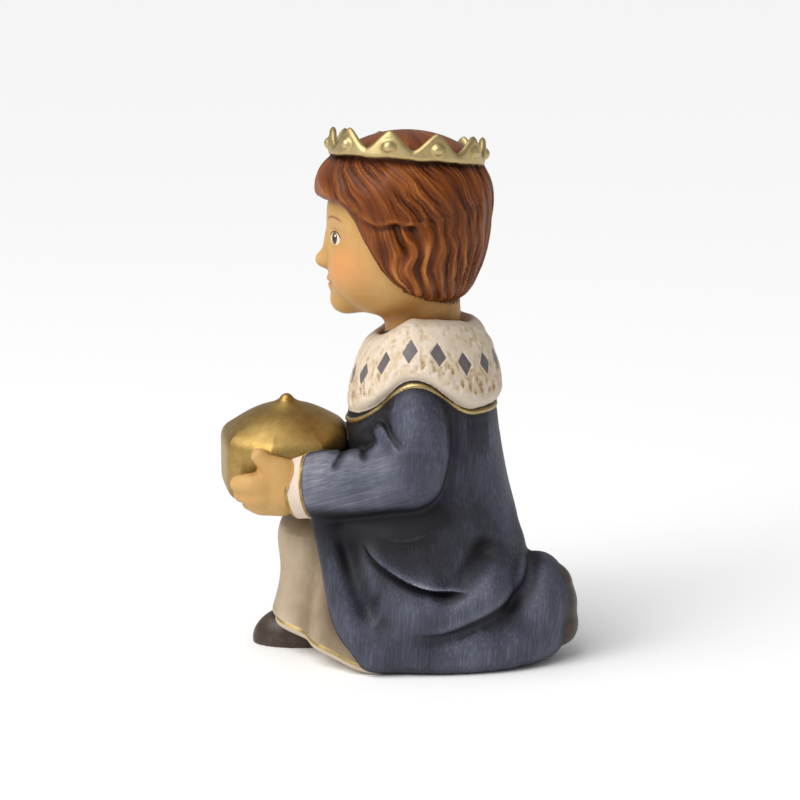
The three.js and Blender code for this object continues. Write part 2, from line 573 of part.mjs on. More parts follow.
function geometryOf(manifold) {
  const mesh = manifold.getMesh();
  const geometry = new THREE.BufferGeometry();
  geometry.setAttribute('position', new THREE.Float32BufferAttribute(mesh.vertProperties, 3));
  geometry.setIndex([...mesh.triVerts]);
  return geometry;
}

const PARTS = [
  surface(coat, [-24, -23, -3], [25, 36, 66], 0.85),
  surface(tunic, [-20, -31, -3], [22, 9, 35], 1.0),
  surface(rightShoe, [-12, -32, -7], [2, -8, 10], 0.9),
  surface(leftShoe, [-3, 20, 0], [13, 37, 22], 0.9),
  surface((p) => cuff(p, LEFT), [1, -26, 26], [20, -10, 46], 0.8),
  surface((p) => cuff(p, RIGHT), [-20, -26, 26], [-1, -10, 47], 0.8),
  surface((p) => hand(p, LEFT), [3, -34, 26], [19, -9, 47], 0.6),
  surface((p) => hand(p, RIGHT), [-19, -34, 26], [-3, -9, 48], 0.6),
  surface(collar, [-20, -14, 43], [20, 24, 71], 0.9),
  surface(trim, [-20, -14, 43], [20, 24, 61], 0.5),
  surface(head, [-17, -20, 50], [17, 19, 104], 0.8),
  surface(hair, [-19, -20, 66], [19, 22, 106], 0.8),
  surface(crown, [-18, -18, 92], [18, 19, 107], 0.45),
  placeCasket(casketGeometry()),
  placeCasket(knobGeometry()),
];

async function figurineGeometry() {
  const ground = solid(new THREE.BoxGeometry(120, 120, 20).translate(0, 0, -10));
  const whole = PARTS.map(solid).reduce((joined, piece) => joined.add(piece)).subtract(ground);
  const fine = geometryOf(whole);
  const share = 1 - TRIANGLES / (fine.getIndex().count / 3);
  const thinned = await new SimplifyModifier().modify(fine, fine.getAttribute('position').count * share);
  return geometryOf(largest(solid(thinned)));
}

const figurine = new THREE.Mesh(await figurineGeometry(), new THREE.MeshStandardMaterial(PORCELAIN));
figurine.name = 'figurine';

const group = new THREE.Group();
group.add(figurine);

export default group;
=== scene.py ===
import functools
import itertools
import math
from concurrent.futures import ThreadPoolExecutor

import bpy
import numpy as np
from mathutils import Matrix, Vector


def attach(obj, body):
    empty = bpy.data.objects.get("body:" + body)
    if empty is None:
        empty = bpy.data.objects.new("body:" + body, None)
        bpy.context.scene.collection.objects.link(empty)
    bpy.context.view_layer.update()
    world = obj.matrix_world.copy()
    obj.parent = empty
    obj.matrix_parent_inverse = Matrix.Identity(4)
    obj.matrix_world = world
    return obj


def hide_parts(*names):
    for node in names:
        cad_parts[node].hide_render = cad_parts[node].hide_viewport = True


# A kneeling child king in painted bisque porcelain, carved as one piece.
# The carving is a signed distance, negative inside, of points in millimetres, with the sizes of the CAD part.
# It is meshed on a grid, thinned, and painted by what each place belongs to.

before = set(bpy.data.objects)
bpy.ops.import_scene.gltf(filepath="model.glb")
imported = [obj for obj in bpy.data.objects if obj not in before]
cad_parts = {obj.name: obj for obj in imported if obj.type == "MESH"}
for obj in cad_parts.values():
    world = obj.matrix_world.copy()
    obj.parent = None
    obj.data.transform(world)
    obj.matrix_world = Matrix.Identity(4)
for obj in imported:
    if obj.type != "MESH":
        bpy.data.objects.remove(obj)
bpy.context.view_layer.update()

# Meshing: the grid's cell, how many cells a block is long, the triangles kept, how softly the parts run
# together, and the distance that stands for anything far away
CELL = 0.36
BLOCK = 4
TRIANGLES = 190000
JOIN = 0.3
FAR = 9
LEFT = 1
RIGHT = -1

# The casket: a low domed lid on eight flat sides, its near side dipped and turned a little. The corners stand
# out past the flats by corner, and the lid's facets set in from one radius to another.
CASKET = dict(middle=(0, -22.2, 44.2), across_flats=25.4, wall=12.2, foot=3.6, rise=5.9, rim=1.5, tilt=6,
              turn=11.5, corner=0.9, corner_edge=0.8, facet_share=0.7, facets_between=(8, 13.4), lid_out=0.3,
              knob=((0, 0, 4.2, 3.5), (0, 0, 6.7, 1.1)), knob_blend=2.2)

# The crown: a band with ten points and a bead under each, leaning back and to the right
CROWN = dict(middle=(0, 1.2, 97.5), radius=14.45, thickness=1.4, band=2, rise=3.55, half_width=4.5, points=10,
             first=-14, back=4, right=5.5, straight=0.4, lower_edge=0.9, point_edge=1, wave=0.2, bead=1.15,
             bead_height=2.3, bead_out=0.45, bead_blend=0.5)

# The collar: a fur cape, its lower edge arched over each arm and drooping at front and back
COLLAR = dict(middle=4.9, widen=0.9, reach=15.2, side_reach=0.5, flare=5.4, front_flare=1, sweep=2.4,
              side_sweep=0.7, top=68.3, top_front=4.2, top_back=1, top_wave=0.35, cup=(9.2, 9.4, 4.8),
              cup_lift=1, arch=57, front_drop=9.6, back_drop=6.1, lower_edge=2.8, top_edge=2, cup_edge=0.8)
DIAMONDS = dict(count=16, first=10, height=0.52, half_width=1.6, half_height=2.3, depth=0.14)
TRIM = dict(below=0.55, half=0.42, height=0.35, inner_radius=9.5, edge=0.4)

# The wrist: where each sleeve ends in its turned lining, and the way the forearm points there
WRIST = dict(middle=(10.5, -16.9, 35.9), axis=(-0.28, -0.95, -0.12), lining=6.45, length=3.8, edge=0.9,
             sleeve_edge=0.8)
RIGHT_ARM_LIFT = 0.8
SLEEVE_BLEND = 1.4

# How the coat's hem is rounded off, and how far below the ground it would end
HEM_ROUNDING = 3
HEM_SINK = 0.15

# The tunic: its hem, which rises to the front, and its pleats, which fan out and deepen downwards
HEM = dict(height=6.3, front=-26.5, slope=0.3, edge=1.2)
PLEATS = dict(depth=0.55, spacing=6.4, slant=0.16, radius=13, axis=(-2.5, -3), top=29, flat=6, full=23)

# The body under the coat in level sections: height, front, back, half width at the left, at the right
BODY = [
    (-4, -6.5, 27.6, 18.5, 18), (4, -7, 27.6, 18.5, 18), (12, -8, 27, 17.6, 17.2),
    (20, -9, 25.5, 16, 16.2), (26, -9.4, 23.9, 14.8, 15), (35, -9.6, 21.5, 14, 14),
    (44, -10.5, 19.7, 14.2, 14.2), (50, -9.8, 18.8, 14.2, 14.2), (56, -7.4, 17.2, 13.6, 13.6),
    (61, -5, 15, 11.2, 11.2), (65, -2.5, 12.5, 8, 8), (68, 0, 10, 5, 5),
]
BODY_SQUARENESS = 2.25

# Plainer folds on the coat's right side as points (y, z), and on its back as points (x, z)
RIGHT_FOLDS = [
    [(-6, 30), (-1, 24), (2, 15), (2.6, 6)],
    [(14, 36), (12, 25), (9.6, 13), (9, 5)],
    [(-10, 22), (-6, 13), (-5, 5)],
]
BACK_FOLDS = [[(-5.6, 46), (-6.4, 32), (-8, 14)], [(1.4, 40), (0.6, 30), (-1.6, 20)]]

# How far out from the middle each group of folds sets in and is full
FOLD_STARTS = dict(creases=(6, 11), beside_arm=(12, 14), lower=(1, 6), right=(8, 12), back=(12, 17),
                   pleats=(8, 11))

# The edge of the hair seen from the side, from the brow down past the ear to the nape, as points (y, z)
HAIRLINE = [
    (-19, 90.6), (-15.4, 90.6), (-12.4, 90.4), (-10.2, 89.2), (-8.6, 87.2), (-7.2, 84.2), (-5.6, 80.8),
    (-3.8, 78), (-1.2, 75.4), (2, 73.2), (5.6, 71.6), (10, 70.6), (20, 70.2),
]

# Partings between the locks, as points (s, z): s is the way round the head in millimetres, 0 over the ear
# and positive to the back. The upper locks end in a ledge, and the lower ones come out from under it.
UPPER_LOCKS = [
    [(-23.6, 98.5), (-23, 95), (-20.6, 92), (-17.4, 89.6)],
    [(-20.4, 98.5), (-17.6, 96.2), (-15.6, 93.6), (-13.6, 90.8), (-11.6, 88.4)],
    [(-17.4, 98.5), (-14.4, 96.2), (-11.8, 93.5), (-9.8, 90.8), (-8, 87.6)],
    [(-14.2, 98.5), (-11, 96), (-8.3, 93.8), (-6.2, 91.4), (-4.6, 88)],
    [(-10.9, 98.5), (-7.6, 96.2), (-4.9, 94), (-2.6, 91.4), (-1, 88.2)],
    [(-8.4, 98.5), (-5, 96.1), (-2, 93.8), (0.4, 91.3), (2.2, 88.2)],
]
LOWER_LOCKS = [
    [(-17.4, 89.6), (-13.6, 87.4), (-11.6, 84.4), (-9.6, 80.6), (-7, 77)],
    [(-10.4, 88.4), (-9.6, 85.6), (-8.4, 82.6), (-6.6, 79.4), (-4, 76.6), (-1.6, 74.6)],
    [(-6.2, 86.6), (-5.6, 83.6), (-5.2, 80.7), (-3.6, 77.6), (-0.2, 73.6)],
    [(-2.6, 86.9), (-1.2, 84.2), (-0.8, 81.2), (-1.4, 78.4), (-0.4, 75.4), (2, 72.4)],
    [(0.8, 86.8), (2.4, 84.2), (3, 81.4), (2.4, 78.5), (3.2, 75.5), (5.6, 71)],
]
BACK_LOCKS = [
    [(-6, 98.4), (-2.7, 95.9), (0.6, 93.3), (3, 90.7), (4.9, 87.2), (5.6, 82.8), (5.2, 77.7), (8.6, 70.6)],
    [(-1.5, 98.2), (1.2, 95.4), (4, 92.9), (6.2, 90.3), (7.7, 86.5), (8.2, 81.4), (8.3, 76.1),
     (11.2, 70.4)],
    [(2.8, 98), (5.2, 95), (7.6, 91.5), (9.6, 87), (10.6, 81.8), (11, 76.6), (13, 70.2)],
    [(7.3, 97.8), (9, 94.5), (10.8, 91), (12.6, 86.8), (13.3, 81.6), (13.6, 77), (14.6, 70.2)],
    [(12.4, 97.5), (13.2, 94.3), (14.6, 90.7), (15.8, 86.5), (16.2, 81.9), (16.2, 77.4), (16.8, 70)],
    [(17.5, 97.2), (17.8, 93.6), (18.6, 89.7), (19.6, 84.8), (19.8, 79.4), (20, 70)],
    [(22.6, 97.2), (23, 92), (23.8, 86), (24.2, 79), (24, 70)],
]
LEDGE = [
    (-26, 92), (-19, 91), (-13, 90.6), (-9.6, 89.4), (-8, 87.6), (-6.2, 86.5), (-4.2, 86.9),
    (-2.2, 87.5), (-0.2, 86.9), (2, 87), (4.4, 87.6),
]
HEAD_REACH = 16
HEAD_MIDDLE = 1.6
HAIR_TOP = 101.5
HAIR_EDGE = 1.6
FINE_GROOVES = 3
LOCK_SPACING = 3.6
EAR = (1, (3, 80), (8, 7))

# Relief of the locks as (plain, what is added near the ear): the partings' depth and width, and the round
# between them. Then the fine grooves, and the shelf where the upper locks end over the lower ones.
PARTING_DEPTH = (0.22, 0.4)
PARTING_WIDTH = (0.85, 0.2)
LOCK_ROUND = (0.14, 0.36)
FINE_DEPTH = 0.05
TOUSLE = 0.22
SHELF = dict(under=0.45, under_width=1.3, over=0.5, over_width=2.2)


# Arithmetic
def ramp(low, high, x):
    t = np.clip((x - low) / (high - low), 0, 1)
    return t * t * (3 - 2 * t)


def smooth_min(a, b, blend):
    h = np.maximum(blend - np.abs(a - b), 0) / blend
    return np.minimum(a, b) - h * h * (blend / 4)


def smooth_max(a, b, blend):
    return -smooth_min(-a, -b, blend)


def length(x, y, z):
    return np.sqrt(x * x + y * y + z * z)


def turned(a, b, degrees):
    c, s = math.cos(math.radians(degrees)), math.sin(math.radians(degrees))
    return a * c - b * s, a * s + b * c


def cubic(a, b, c, d, t):
    square = 2 * a - 5 * b + 4 * c - d
    return 0.5 * (2 * b + (c - a) * t + square * t * t + (3 * b - a - 3 * c + d) * t ** 3)


def smooth_path(points, steps):
    """A smooth run of points of any size through the given ones."""
    given = np.array(points, float)
    ends = np.vstack([2 * given[0] - given[1], given, 2 * given[-1] - given[-2]])
    path = [cubic(*ends[i:i + 4], s / steps) for i in range(len(given) - 1) for s in range(steps)]
    return np.array(path + [given[-1]])


def fine_sections(rows, spacing=0.1):
    """The rows (height, values...) as a close table of a smooth curve through them."""
    rows = np.array(rows, float)
    heights = np.arange(rows[0, 0], rows[-1, 0], spacing)
    place = np.clip(np.searchsorted(rows[:, 0], heights, side="right") - 1, 0, len(rows) - 2)
    share = (heights - rows[place, 0]) / (rows[place + 1, 0] - rows[place, 0])
    near = [rows[np.clip(place + k, 0, len(rows) - 1), 1:] for k in (-1, 0, 1, 2)]
    return heights, cubic(*near, share[:, None])


LATTICE = np.random.default_rng(11).random((64, 64, 64), dtype=np.float32) * 2 - 1


def noise(x, y, z):
    """Smooth noise from -1 to 1 with about one swell to a unit."""
    low = [np.floor(v).astype(np.int32) for v in (x, y, z)]
    part = [v - n for v, n in zip((x, y, z), low)]
    soft = [t * t * (3 - 2 * t) for t in part]
    total = 0
    for corner in itertools.product((0, 1), repeat=3):
        weight = 1
        for t, c in zip(soft, corner):
            weight = weight * (t if c else 1 - t)
        spot = [(n + c) & 63 for n, c in zip(low, corner)]
        total = total + weight * LATTICE[spot[0], spot[1], spot[2]]
    return total


def moved(p, middle):
    return [value - start for value, start in zip(p, middle)]


def swells(p, spacing):
    """Noise with its swells so many millimetres apart along x, y and z."""
    return noise(*[value / gap for value, gap in zip(p, spacing)])


# Basic forms: each is made once from its sizes, and then gives its distance at points p
def ellipsoid(middle, radii, front_up=0):
    def distance(p):
        x, y, z = moved(p, middle)
        y, z = turned(y, z, front_up)
        near = length(x / radii[0], y / radii[1], z / radii[2])
        slope = length(x / radii[0] ** 2, y / radii[1] ** 2, z / radii[2] ** 2)
        return np.where(slope < 1e-6, -min(radii), near * (near - 1) / np.maximum(slope, 1e-6))
    return distance


def limb(a, b):
    """A round cone from a to b, given as (x, y, z, radius)."""
    way = [end - start for start, end in zip(a, b)]
    size = way[0] ** 2 + way[1] ** 2 + way[2] ** 2

    def distance(p):
        d = moved(p, a)
        t = np.clip((d[0] * way[0] + d[1] * way[1] + d[2] * way[2]) / size, 0, 1)
        return length(d[0] - t * way[0], d[1] - t * way[1], d[2] - t * way[2]) - a[3] - way[3] * t
    return distance


def tube(points, steps=3):
    """A limb that bends through points (x, y, z, radius)."""
    path = [tuple(map(float, place)) for place in smooth_path(points, steps)]
    limbs = [limb(a, b) for a, b in zip(path, path[1:])]

    def distance(p):
        nearest = limbs[0](p)
        for piece in limbs[1:]:
            nearest = np.minimum(nearest, piece(p))
        return nearest
    return distance


def blended(first, *others):
    """Forms joined one after another; each later one is given with how softly it runs into those before."""
    def distance(p):
        total = first(p)
        for form, blend in others:
            total = smooth_min(total, form(p), blend)
        return total
    return distance


def twin(form):
    """A form and its mirror image at the other side of the head."""
    return lambda p: form((np.abs(p[0]), p[1], p[2]))


def path_distance(u, v, path):
    """The distance from (u, v) to a path, how far along its nearest place is, and the side (u, v) is on."""
    nearest = np.full(u.shape, 1e3, np.float32)
    place = np.zeros(u.shape, np.float32)
    side = np.zeros(u.shape, np.float32)
    steps = len(path) - 1
    for i in range(steps):
        a, b = float(path[i][0]), float(path[i][1])
        c, d = float(path[i + 1][0]) - a, float(path[i + 1][1]) - b
        t = np.clip(((u - a) * c + (v - b) * d) / (c * c + d * d), 0, 1)
        gap = np.hypot(u - a - t * c, v - b - t * d)
        near = gap < nearest
        nearest = np.where(near, gap, nearest)
        place = np.where(near, (i + t) / steps, place)
        side = np.where(near, c * (v - b) - d * (u - a), side)
    return nearest, place, side


def looked_up(function, low, high, spacing=0.12):
    """The values of a function of (u, v), worked out once on a fine grid and read off between its places."""
    count = [int((b - a) / spacing) + 2 for a, b in zip(low, high)]
    u, v = np.meshgrid(*[a + spacing * np.arange(n) for a, n in zip(low, count)], indexing="ij")
    values = [np.asarray(table, np.float32) for table in function(u.astype(np.float32), v.astype(np.float32))]

    def read(u, v):
        i, j = [np.clip((w - a) / spacing, 0, n - 1.001) for w, a, n in zip((u, v), low, count)]
        a, b = i.astype(np.int32), j.astype(np.int32)
        s, t = i - a, j - b
        return [(table[a, b] * (1 - s) + table[a + 1, b] * s) * (1 - t)
                + (table[a, b + 1] * (1 - s) + table[a + 1, b + 1] * s) * t for table in values]
    return read


def groove(points, width, depth):
    """A groove along a path, deepest at its middle."""
    path = smooth_path(points, 4)

    def cut(u, v):
        gap, place, _ = path_distance(u, v, path)
        fade = 0.85 * ramp(0, 0.25, place) * ramp(0, 0.25, 1 - place) + 0.15
        return depth * fade * np.exp(-((gap / width) ** 2))
    return cut


def overlap(points, swell, swell_width, tuck, tuck_width, edge):
    """A fold that lies over what is on the other side of its path: a swelling at the left of the path's
    direction, a tuck at its right, both fading at the ends; edge is how soft the step between them is."""
    path = smooth_path(points, 4)

    def lie(u, v):
        gap, place, side = path_distance(u, v, path)
        fade = ramp(0, 0.3, place) * ramp(0, 0.3, 1 - place)
        over = -swell * np.exp(-((gap / swell_width) ** 2))
        under = tuck * np.exp(-gap / tuck_width)
        share = ramp(-edge, edge, np.where(side > 0, gap, -gap))
        return fade * (share * over + (1 - share) * under)
    return lie


# The coat
body_heights, body_rows = fine_sections(BODY)


def body(p):
    x, y, z = p
    front, back, left, right = [np.interp(z, body_heights, row).astype(np.float32) for row in body_rows.T]
    middle = (front + back) / 2
    across = np.abs(x / np.where(x > 0, left, right)) ** BODY_SQUARENESS
    along = np.abs((y - middle) / ((back - front) / 2)) ** BODY_SQUARENESS
    reach = np.maximum((across + along) ** (1 / BODY_SQUARENESS), 1e-3)
    return 0.95 * np.hypot(x, y - middle) * (1 - 1 / reach)


left_thigh = limb((7.4, -8, 27, 6.6), (8, 6, 26, 7.6))
pouch = ellipsoid((8.6, -2, 14), (9.6, 12.5, 17))
seat = limb((10.8, 13, 14.5, 9), (11.8, 3, 12.2, 8.6))
calf = tube([(12.4, -0.5, 4.4, 8), (12.4, 8, 3.4, 7.8), (9.5, 19, 4.4, 8.4), (6.5, 24, 6.4, 8.6)])
lobe = blended(ellipsoid((5.2, 24.7, 10.8), (10.4, 8.5, 9.8)), (ellipsoid((5, 27.6, 13), (8.8, 5.2, 7.6)), 3))
right_thigh = limb((-8.5, 6, 21, 9.5), (-8.2, -9, 20.5, 8.6))
right_hang = tube([(-8.6, -9, 18, 8.6), (-8.8, -6.5, 9, 9.4), (-8.6, -4, 1, 10.2)])
left_edge = tube([(11.2, -15.2, 31, 2.4), (12.5, -13.3, 24, 2.8), (14, -11.5, 17, 3.1),
                  (15.6, -8.9, 9.5, 3.5), (16.4, -5, 3.6, 3.8)])
right_edge = tube([(-10.8, -12, 34, 3.7), (-12, -15, 29, 2.8), (-13.8, -14.4, 20, 3.1),
                   (-14.6, -12.8, 10, 3.5), (-14.8, -10, 2, 4)])
skirt = blended(body, (left_thigh, 5), (pouch, 4), (seat, 3.5), (calf, 2), (lobe, 1.2), (right_thigh, 5),
                (right_hang, 4), (left_edge, 3.2), (right_edge, 3))

upper_arm = tube([(10.2, 3.2, 57.4, 5), (12.6, 3.4, 50, 5.9), (14, 3.2, 43.4, 6.4), (14.25, 1.6, 39, 6.65)])
forearm = tube([(14.3, 1.2, 38.9, 6.7), (13.4, -6.5, 37.2, 6.5), (10.8, -17, 35.9, 6.6),
                (9.6, -20, 35.5, 6.6)])
elbow_roll = tube([(13.5, -3.2, 46.6, 2), (14.4, -2.2, 44.6, 2.6), (14.6, -2.6, 41.6, 2.8)])
arm = blended(upper_arm, (forearm, 2), (elbow_roll, 1.2))

# Folds of the coat's left side and of the sleeves, along points (y, z): the deep crease, its wing, a fold under
# the sleeve and a valley by the front edge; then one beside the arm, one over the calf, and the sleeve's pleats
creases = [
    overlap([(-7.4, 25.8), (-5.6, 23), (-2.2, 20.4), (2.4, 18), (7.2, 16.6), (10.8, 16.2), (13.4, 16.6)],
            swell=0.9, swell_width=2.6, tuck=1.8, tuck_width=1.7, edge=0.4),
    groove([(5, 15.6), (9.6, 16.8), (13, 19.4), (15.6, 22.8), (17.4, 26.6)], width=2.6, depth=2.3),
    overlap([(-5.5, 26.8), (-1, 25.6), (3.5, 26), (8.2, 28.6)],
            swell=0.35, swell_width=2.4, tuck=0.6, tuck_width=2, edge=1.2),
    groove([(-11.4, 28.5), (-10.6, 23.5), (-9, 18.2), (-6.6, 13.6), (-3.4, 11.6)], width=3.4, depth=1.4),
]
beside_arm = groove([(11, 52), (10.6, 46.6), (9.4, 41.6)], width=1.6, depth=0.5)
lower_crease = overlap([(-0.5, 9.2), (4.8, 8.1), (9.6, 8.4), (15.4, 10.9), (20.7, 13.6), (24, 17),
                        (25.4, 21.5), (26.4, 27), (28, 35)],
                       swell=0.55, swell_width=3.6, tuck=2.3, tuck_width=2.9, edge=1.9)
sleeve_pleats = [
    overlap([(1.2, 44), (-0.4, 45), (-1.8, 46.6), (-3, 48.4), (-4.8, 49.8)],
            swell=0.35, swell_width=1.4, tuck=0.6, tuck_width=1, edge=0.8),
    groove([(-7, 41.6), (-6.6, 43.4), (-5.8, 45), (-5, 46.8)], width=0.8, depth=0.7),
    groove([(-12.9, 40), (-11.4, 42), (-9.8, 44.2)], width=0.6, depth=0.5),
]
right_folds = [groove(points, width=1.9, depth=0.9) for points in RIGHT_FOLDS]
back_folds = [groove(points, width=2.2, depth=0.7) for points in BACK_FOLDS]


def total_depth(folds, u, v):
    return sum(fold(u, v) for fold in folds)


side_folds = looked_up(lambda y, z: [total_depth(folds, y, z) for folds in (
    creases, [beside_arm], [lower_crease], right_folds)], (-24, -4), (37, 68))
rear_folds = looked_up(lambda x, z: [total_depth(back_folds, x, z)], (-25, -4), (26, 68))
pleat_depth = looked_up(lambda y, z: [total_depth(sleeve_pleats, y, z)], (-24, 25), (37, 68))


def coat_folds(p):
    x, y, z = p
    cuts, under_arm, low, far = side_folds(y, z)
    arm_share = ramp(*FOLD_STARTS["beside_arm"], x)
    left = ramp(*FOLD_STARTS["creases"], x) * (cuts + under_arm * arm_share)
    left = left + ramp(*FOLD_STARTS["lower"], x) * low
    right = ramp(*FOLD_STARTS["right"], -x) * far
    back = ramp(*FOLD_STARTS["back"], y) * rear_folds(x, z)[0]
    return left + right + back + 0.1 * swells(p, (4, 4, 7))


def mirrored(p, side):
    return p if side == LEFT else (-p[0], p[1], p[2] - RIGHT_ARM_LIFT)


def wrist_place(q):
    """How far a point lies beyond the wrist, and its distance from the wrist's axis."""
    d = moved(q, WRIST["middle"])
    size = math.hypot(*WRIST["axis"])
    along = sum(value * part / size for value, part in zip(d, WRIST["axis"]))
    return along, np.sqrt(np.maximum(d[0] ** 2 + d[1] ** 2 + d[2] ** 2 - along ** 2, 0))


def sleeve(p, side):
    """Upper arm and forearm, with a roll of cloth squeezed up at the inside of the elbow."""
    q = mirrored(p, side)
    pleats = ramp(*FOLD_STARTS["pleats"], q[0]) * pleat_depth(q[1], q[2])[0]
    cloth = arm(q) + pleats + 0.08 * swells(q, (3, 5, 4))
    return smooth_max(cloth, wrist_place(q)[0], WRIST["sleeve_edge"])


def coat(p):
    f = smooth_max(skirt(p) + coat_folds(p), -p[2] - HEM_SINK, HEM_ROUNDING)
    f = smooth_min(f, sleeve(p, LEFT), SLEEVE_BLEND)
    return smooth_min(f, sleeve(p, RIGHT), SLEEVE_BLEND)


def cuff(p):
    rings = []
    for side in (LEFT, RIGHT):
        along, radius = wrist_place(mirrored(p, side))
        rings.append(smooth_max(radius - WRIST["lining"], np.abs(along - 0.2) - WRIST["length"] + 0.2,
                                WRIST["edge"]))
    return np.minimum(*rings)


# The hands, thumb up and fingers forward under the casket's edge
palm = blended(limb((9.6, -16.5, 35.8, 5), (10.6, -22.6, 35.2, 4.9)),
               (limb((11, -23, 35, 4.6), (11.8, -26, 35.2, 3.4)), 1))
thumb = tube([(11.2, -19.6, 36.4, 4.2), (12.8, -23, 38.8, 2.9), (13.6, -25.4, 40.6, 1.9),
              (13.8, -27, 42.2, 1.5)], steps=8)
first_finger, *other_fingers = [tube(points, steps=6) for points in (
    [(12.2, -24, 36.4, 2.9), (13.5, -28, 36.6, 2.3), (12, -31, 36.4, 1.7)],
    [(12.2, -24, 34.4, 2.8), (12.9, -27.6, 34.1, 2.2), (11.2, -30.4, 34.2, 1.7)],
    [(11.6, -23.4, 32.8, 2.6), (11.6, -26.6, 32.2, 2.1), (10, -29, 32.3, 1.6)],
)]
grip = blended(first_finger, *[(finger, 0.7) for finger in other_fingers])
hand = blended(palm, (grip, 1.2), (thumb, 1.8))


def hands(p):
    return np.minimum(hand(mirrored(p, LEFT)), hand(mirrored(p, RIGHT)))


knob = limb(*CASKET["knob"])


def casket(p):
    x, y, z = moved(p, CASKET["middle"])
    x, z = turned(x, z, CASKET["tilt"])
    x, y = turned(x, y, -CASKET["turn"])
    eighth = math.pi / 4
    bend = (np.arctan2(y, x) + eighth / 2) % eighth - eighth / 2
    radius = np.hypot(x, y)
    flat = radius * np.cos(bend)
    half = CASKET["across_flats"] / 2
    side = smooth_max(flat - half, radius - half - CASKET["corner"], CASKET["corner_edge"])
    facets = CASKET["facet_share"] * ramp(*CASKET["facets_between"], radius)
    out = radius + (flat * 1.02 - radius) * facets
    lid = 0.78 * (z - CASKET["rise"] * (1 - (out / (half + CASKET["lid_out"])) ** 2))
    box = smooth_max(smooth_max(side, -(z + CASKET["wall"]), CASKET["foot"]), lid, CASKET["rim"])
    return smooth_min(box, knob((x, y, z)), CASKET["knob_blend"])


# The tunic, drawn over the raised right knee; its hem rises over the front foot
raised_knee = ellipsoid((-5, -13.4, 22.5), (9.2, 10.2, 9))
knee_fall = tube([(-5, -14.9, 21, 9), (-4, -14.2, 11, 10.4), (-3, -14.2, 1, 12.4)], steps=10)
lap_fall = tube([(4, -6, 20, 8.6), (5.6, -6.2, 9, 10.8), (6.6, -6.4, 1, 11.8)], steps=10)
tunic_cloth = blended(raised_knee, (knee_fall, 3), (lap_fall, 4))


def hem_height(p):
    return 0.95 * (p[2] - HEM["height"] + HEM["slope"] * (p[1] - HEM["front"]))


def tunic(p):
    x, y, z = p
    around_axis = PLEATS["radius"] * np.arctan2(x - PLEATS["axis"][0], -(y - PLEATS["axis"][1]))
    wave = np.sin((around_axis + PLEATS["slant"] * z) * 2 * math.pi / PLEATS["spacing"])
    pleats = PLEATS["depth"] * ramp(PLEATS["flat"], PLEATS["full"], PLEATS["top"] - z) * wave
    cloth = tunic_cloth(p) + pleats + 0.12 * swells(p, (5, 5, 11))
    return smooth_max(cloth, -hem_height(p), HEM["edge"])


front_shoe = ellipsoid((-5, -20, 1.5), (5.4, 9.7, 6.4), front_up=-6)
rear_toe = ellipsoid((5, 30.2, 6.4), (5.4, 4.9, 4.2), front_up=15)
rear_shoe = blended(rear_toe, (limb((5.1, 29.8, 8.4, 5.05), (5.4, 29.1, 14.4, 4.9)), 1.5),
                    (ellipsoid((5.2, 30.2, 11), (5.4, 4.7, 5.5)), 0.6))


def shoes(p):
    return np.minimum(front_shoe(p), rear_shoe(p))


def collar_edge(angle):
    back = np.sin(angle)
    drop = COLLAR["front_drop"] * ramp(0.15, 1.1, -back) + COLLAR["back_drop"] * ramp(-0.1, 0.7, back)
    return COLLAR["arch"] - drop


def collar_place(p):
    """A place on the collar: its angle, radius, the heights of edge and top, and its share of the way up."""
    x, y, z = p[0] * COLLAR["widen"], p[1] - COLLAR["middle"], p[2]
    angle = np.arctan2(y, x)
    low = collar_edge(angle)
    back = np.sin(angle)
    dip = COLLAR["top_front"] * ramp(0.2, 1.05, -back) + COLLAR["top_back"] * ramp(0.2, 0.9, back)
    top = COLLAR["top"] - dip
    return angle, np.hypot(x, y), low, top, (z - low) / (top - low)


def diamond(angle, radius, low, top, share):
    """Distance from the nearest diamond's middle, 1 at its edge."""
    sector = 2 * math.pi / DIAMONDS["count"]
    turn = (angle - math.radians(DIAMONDS["first"]) + sector / 2) % sector - sector / 2
    across = np.abs(turn) * radius / DIAMONDS["half_width"]
    return across + np.abs(share - DIAMONDS["height"]) * (top - low) / DIAMONDS["half_height"]


def fur(p, share):
    """The depth of the fur's dimples, which leave a smooth roll at the lower edge."""
    x, y, z = p
    dents = 0.17 * ramp(-0.15, 0.55, swells(p, (0.85, 0.85, 1.05)))
    streaks = noise(x / 0.75, y / 0.75 + 5, z / 2)
    furrows = 0.24 * ramp(0, 0.55, streaks) * ramp(0.2, 0.6, 0.85 - share)
    softly = 0.16 * noise(x / 2.6, y / 2.6, z / 2.6 + 7)
    return (dents + furrows) * ramp(0.06, 0.24, share) * ramp(0, 0.12, 1.02 - share) + softly


collar_cup = ellipsoid((0, 0, 0), COLLAR["cup"])


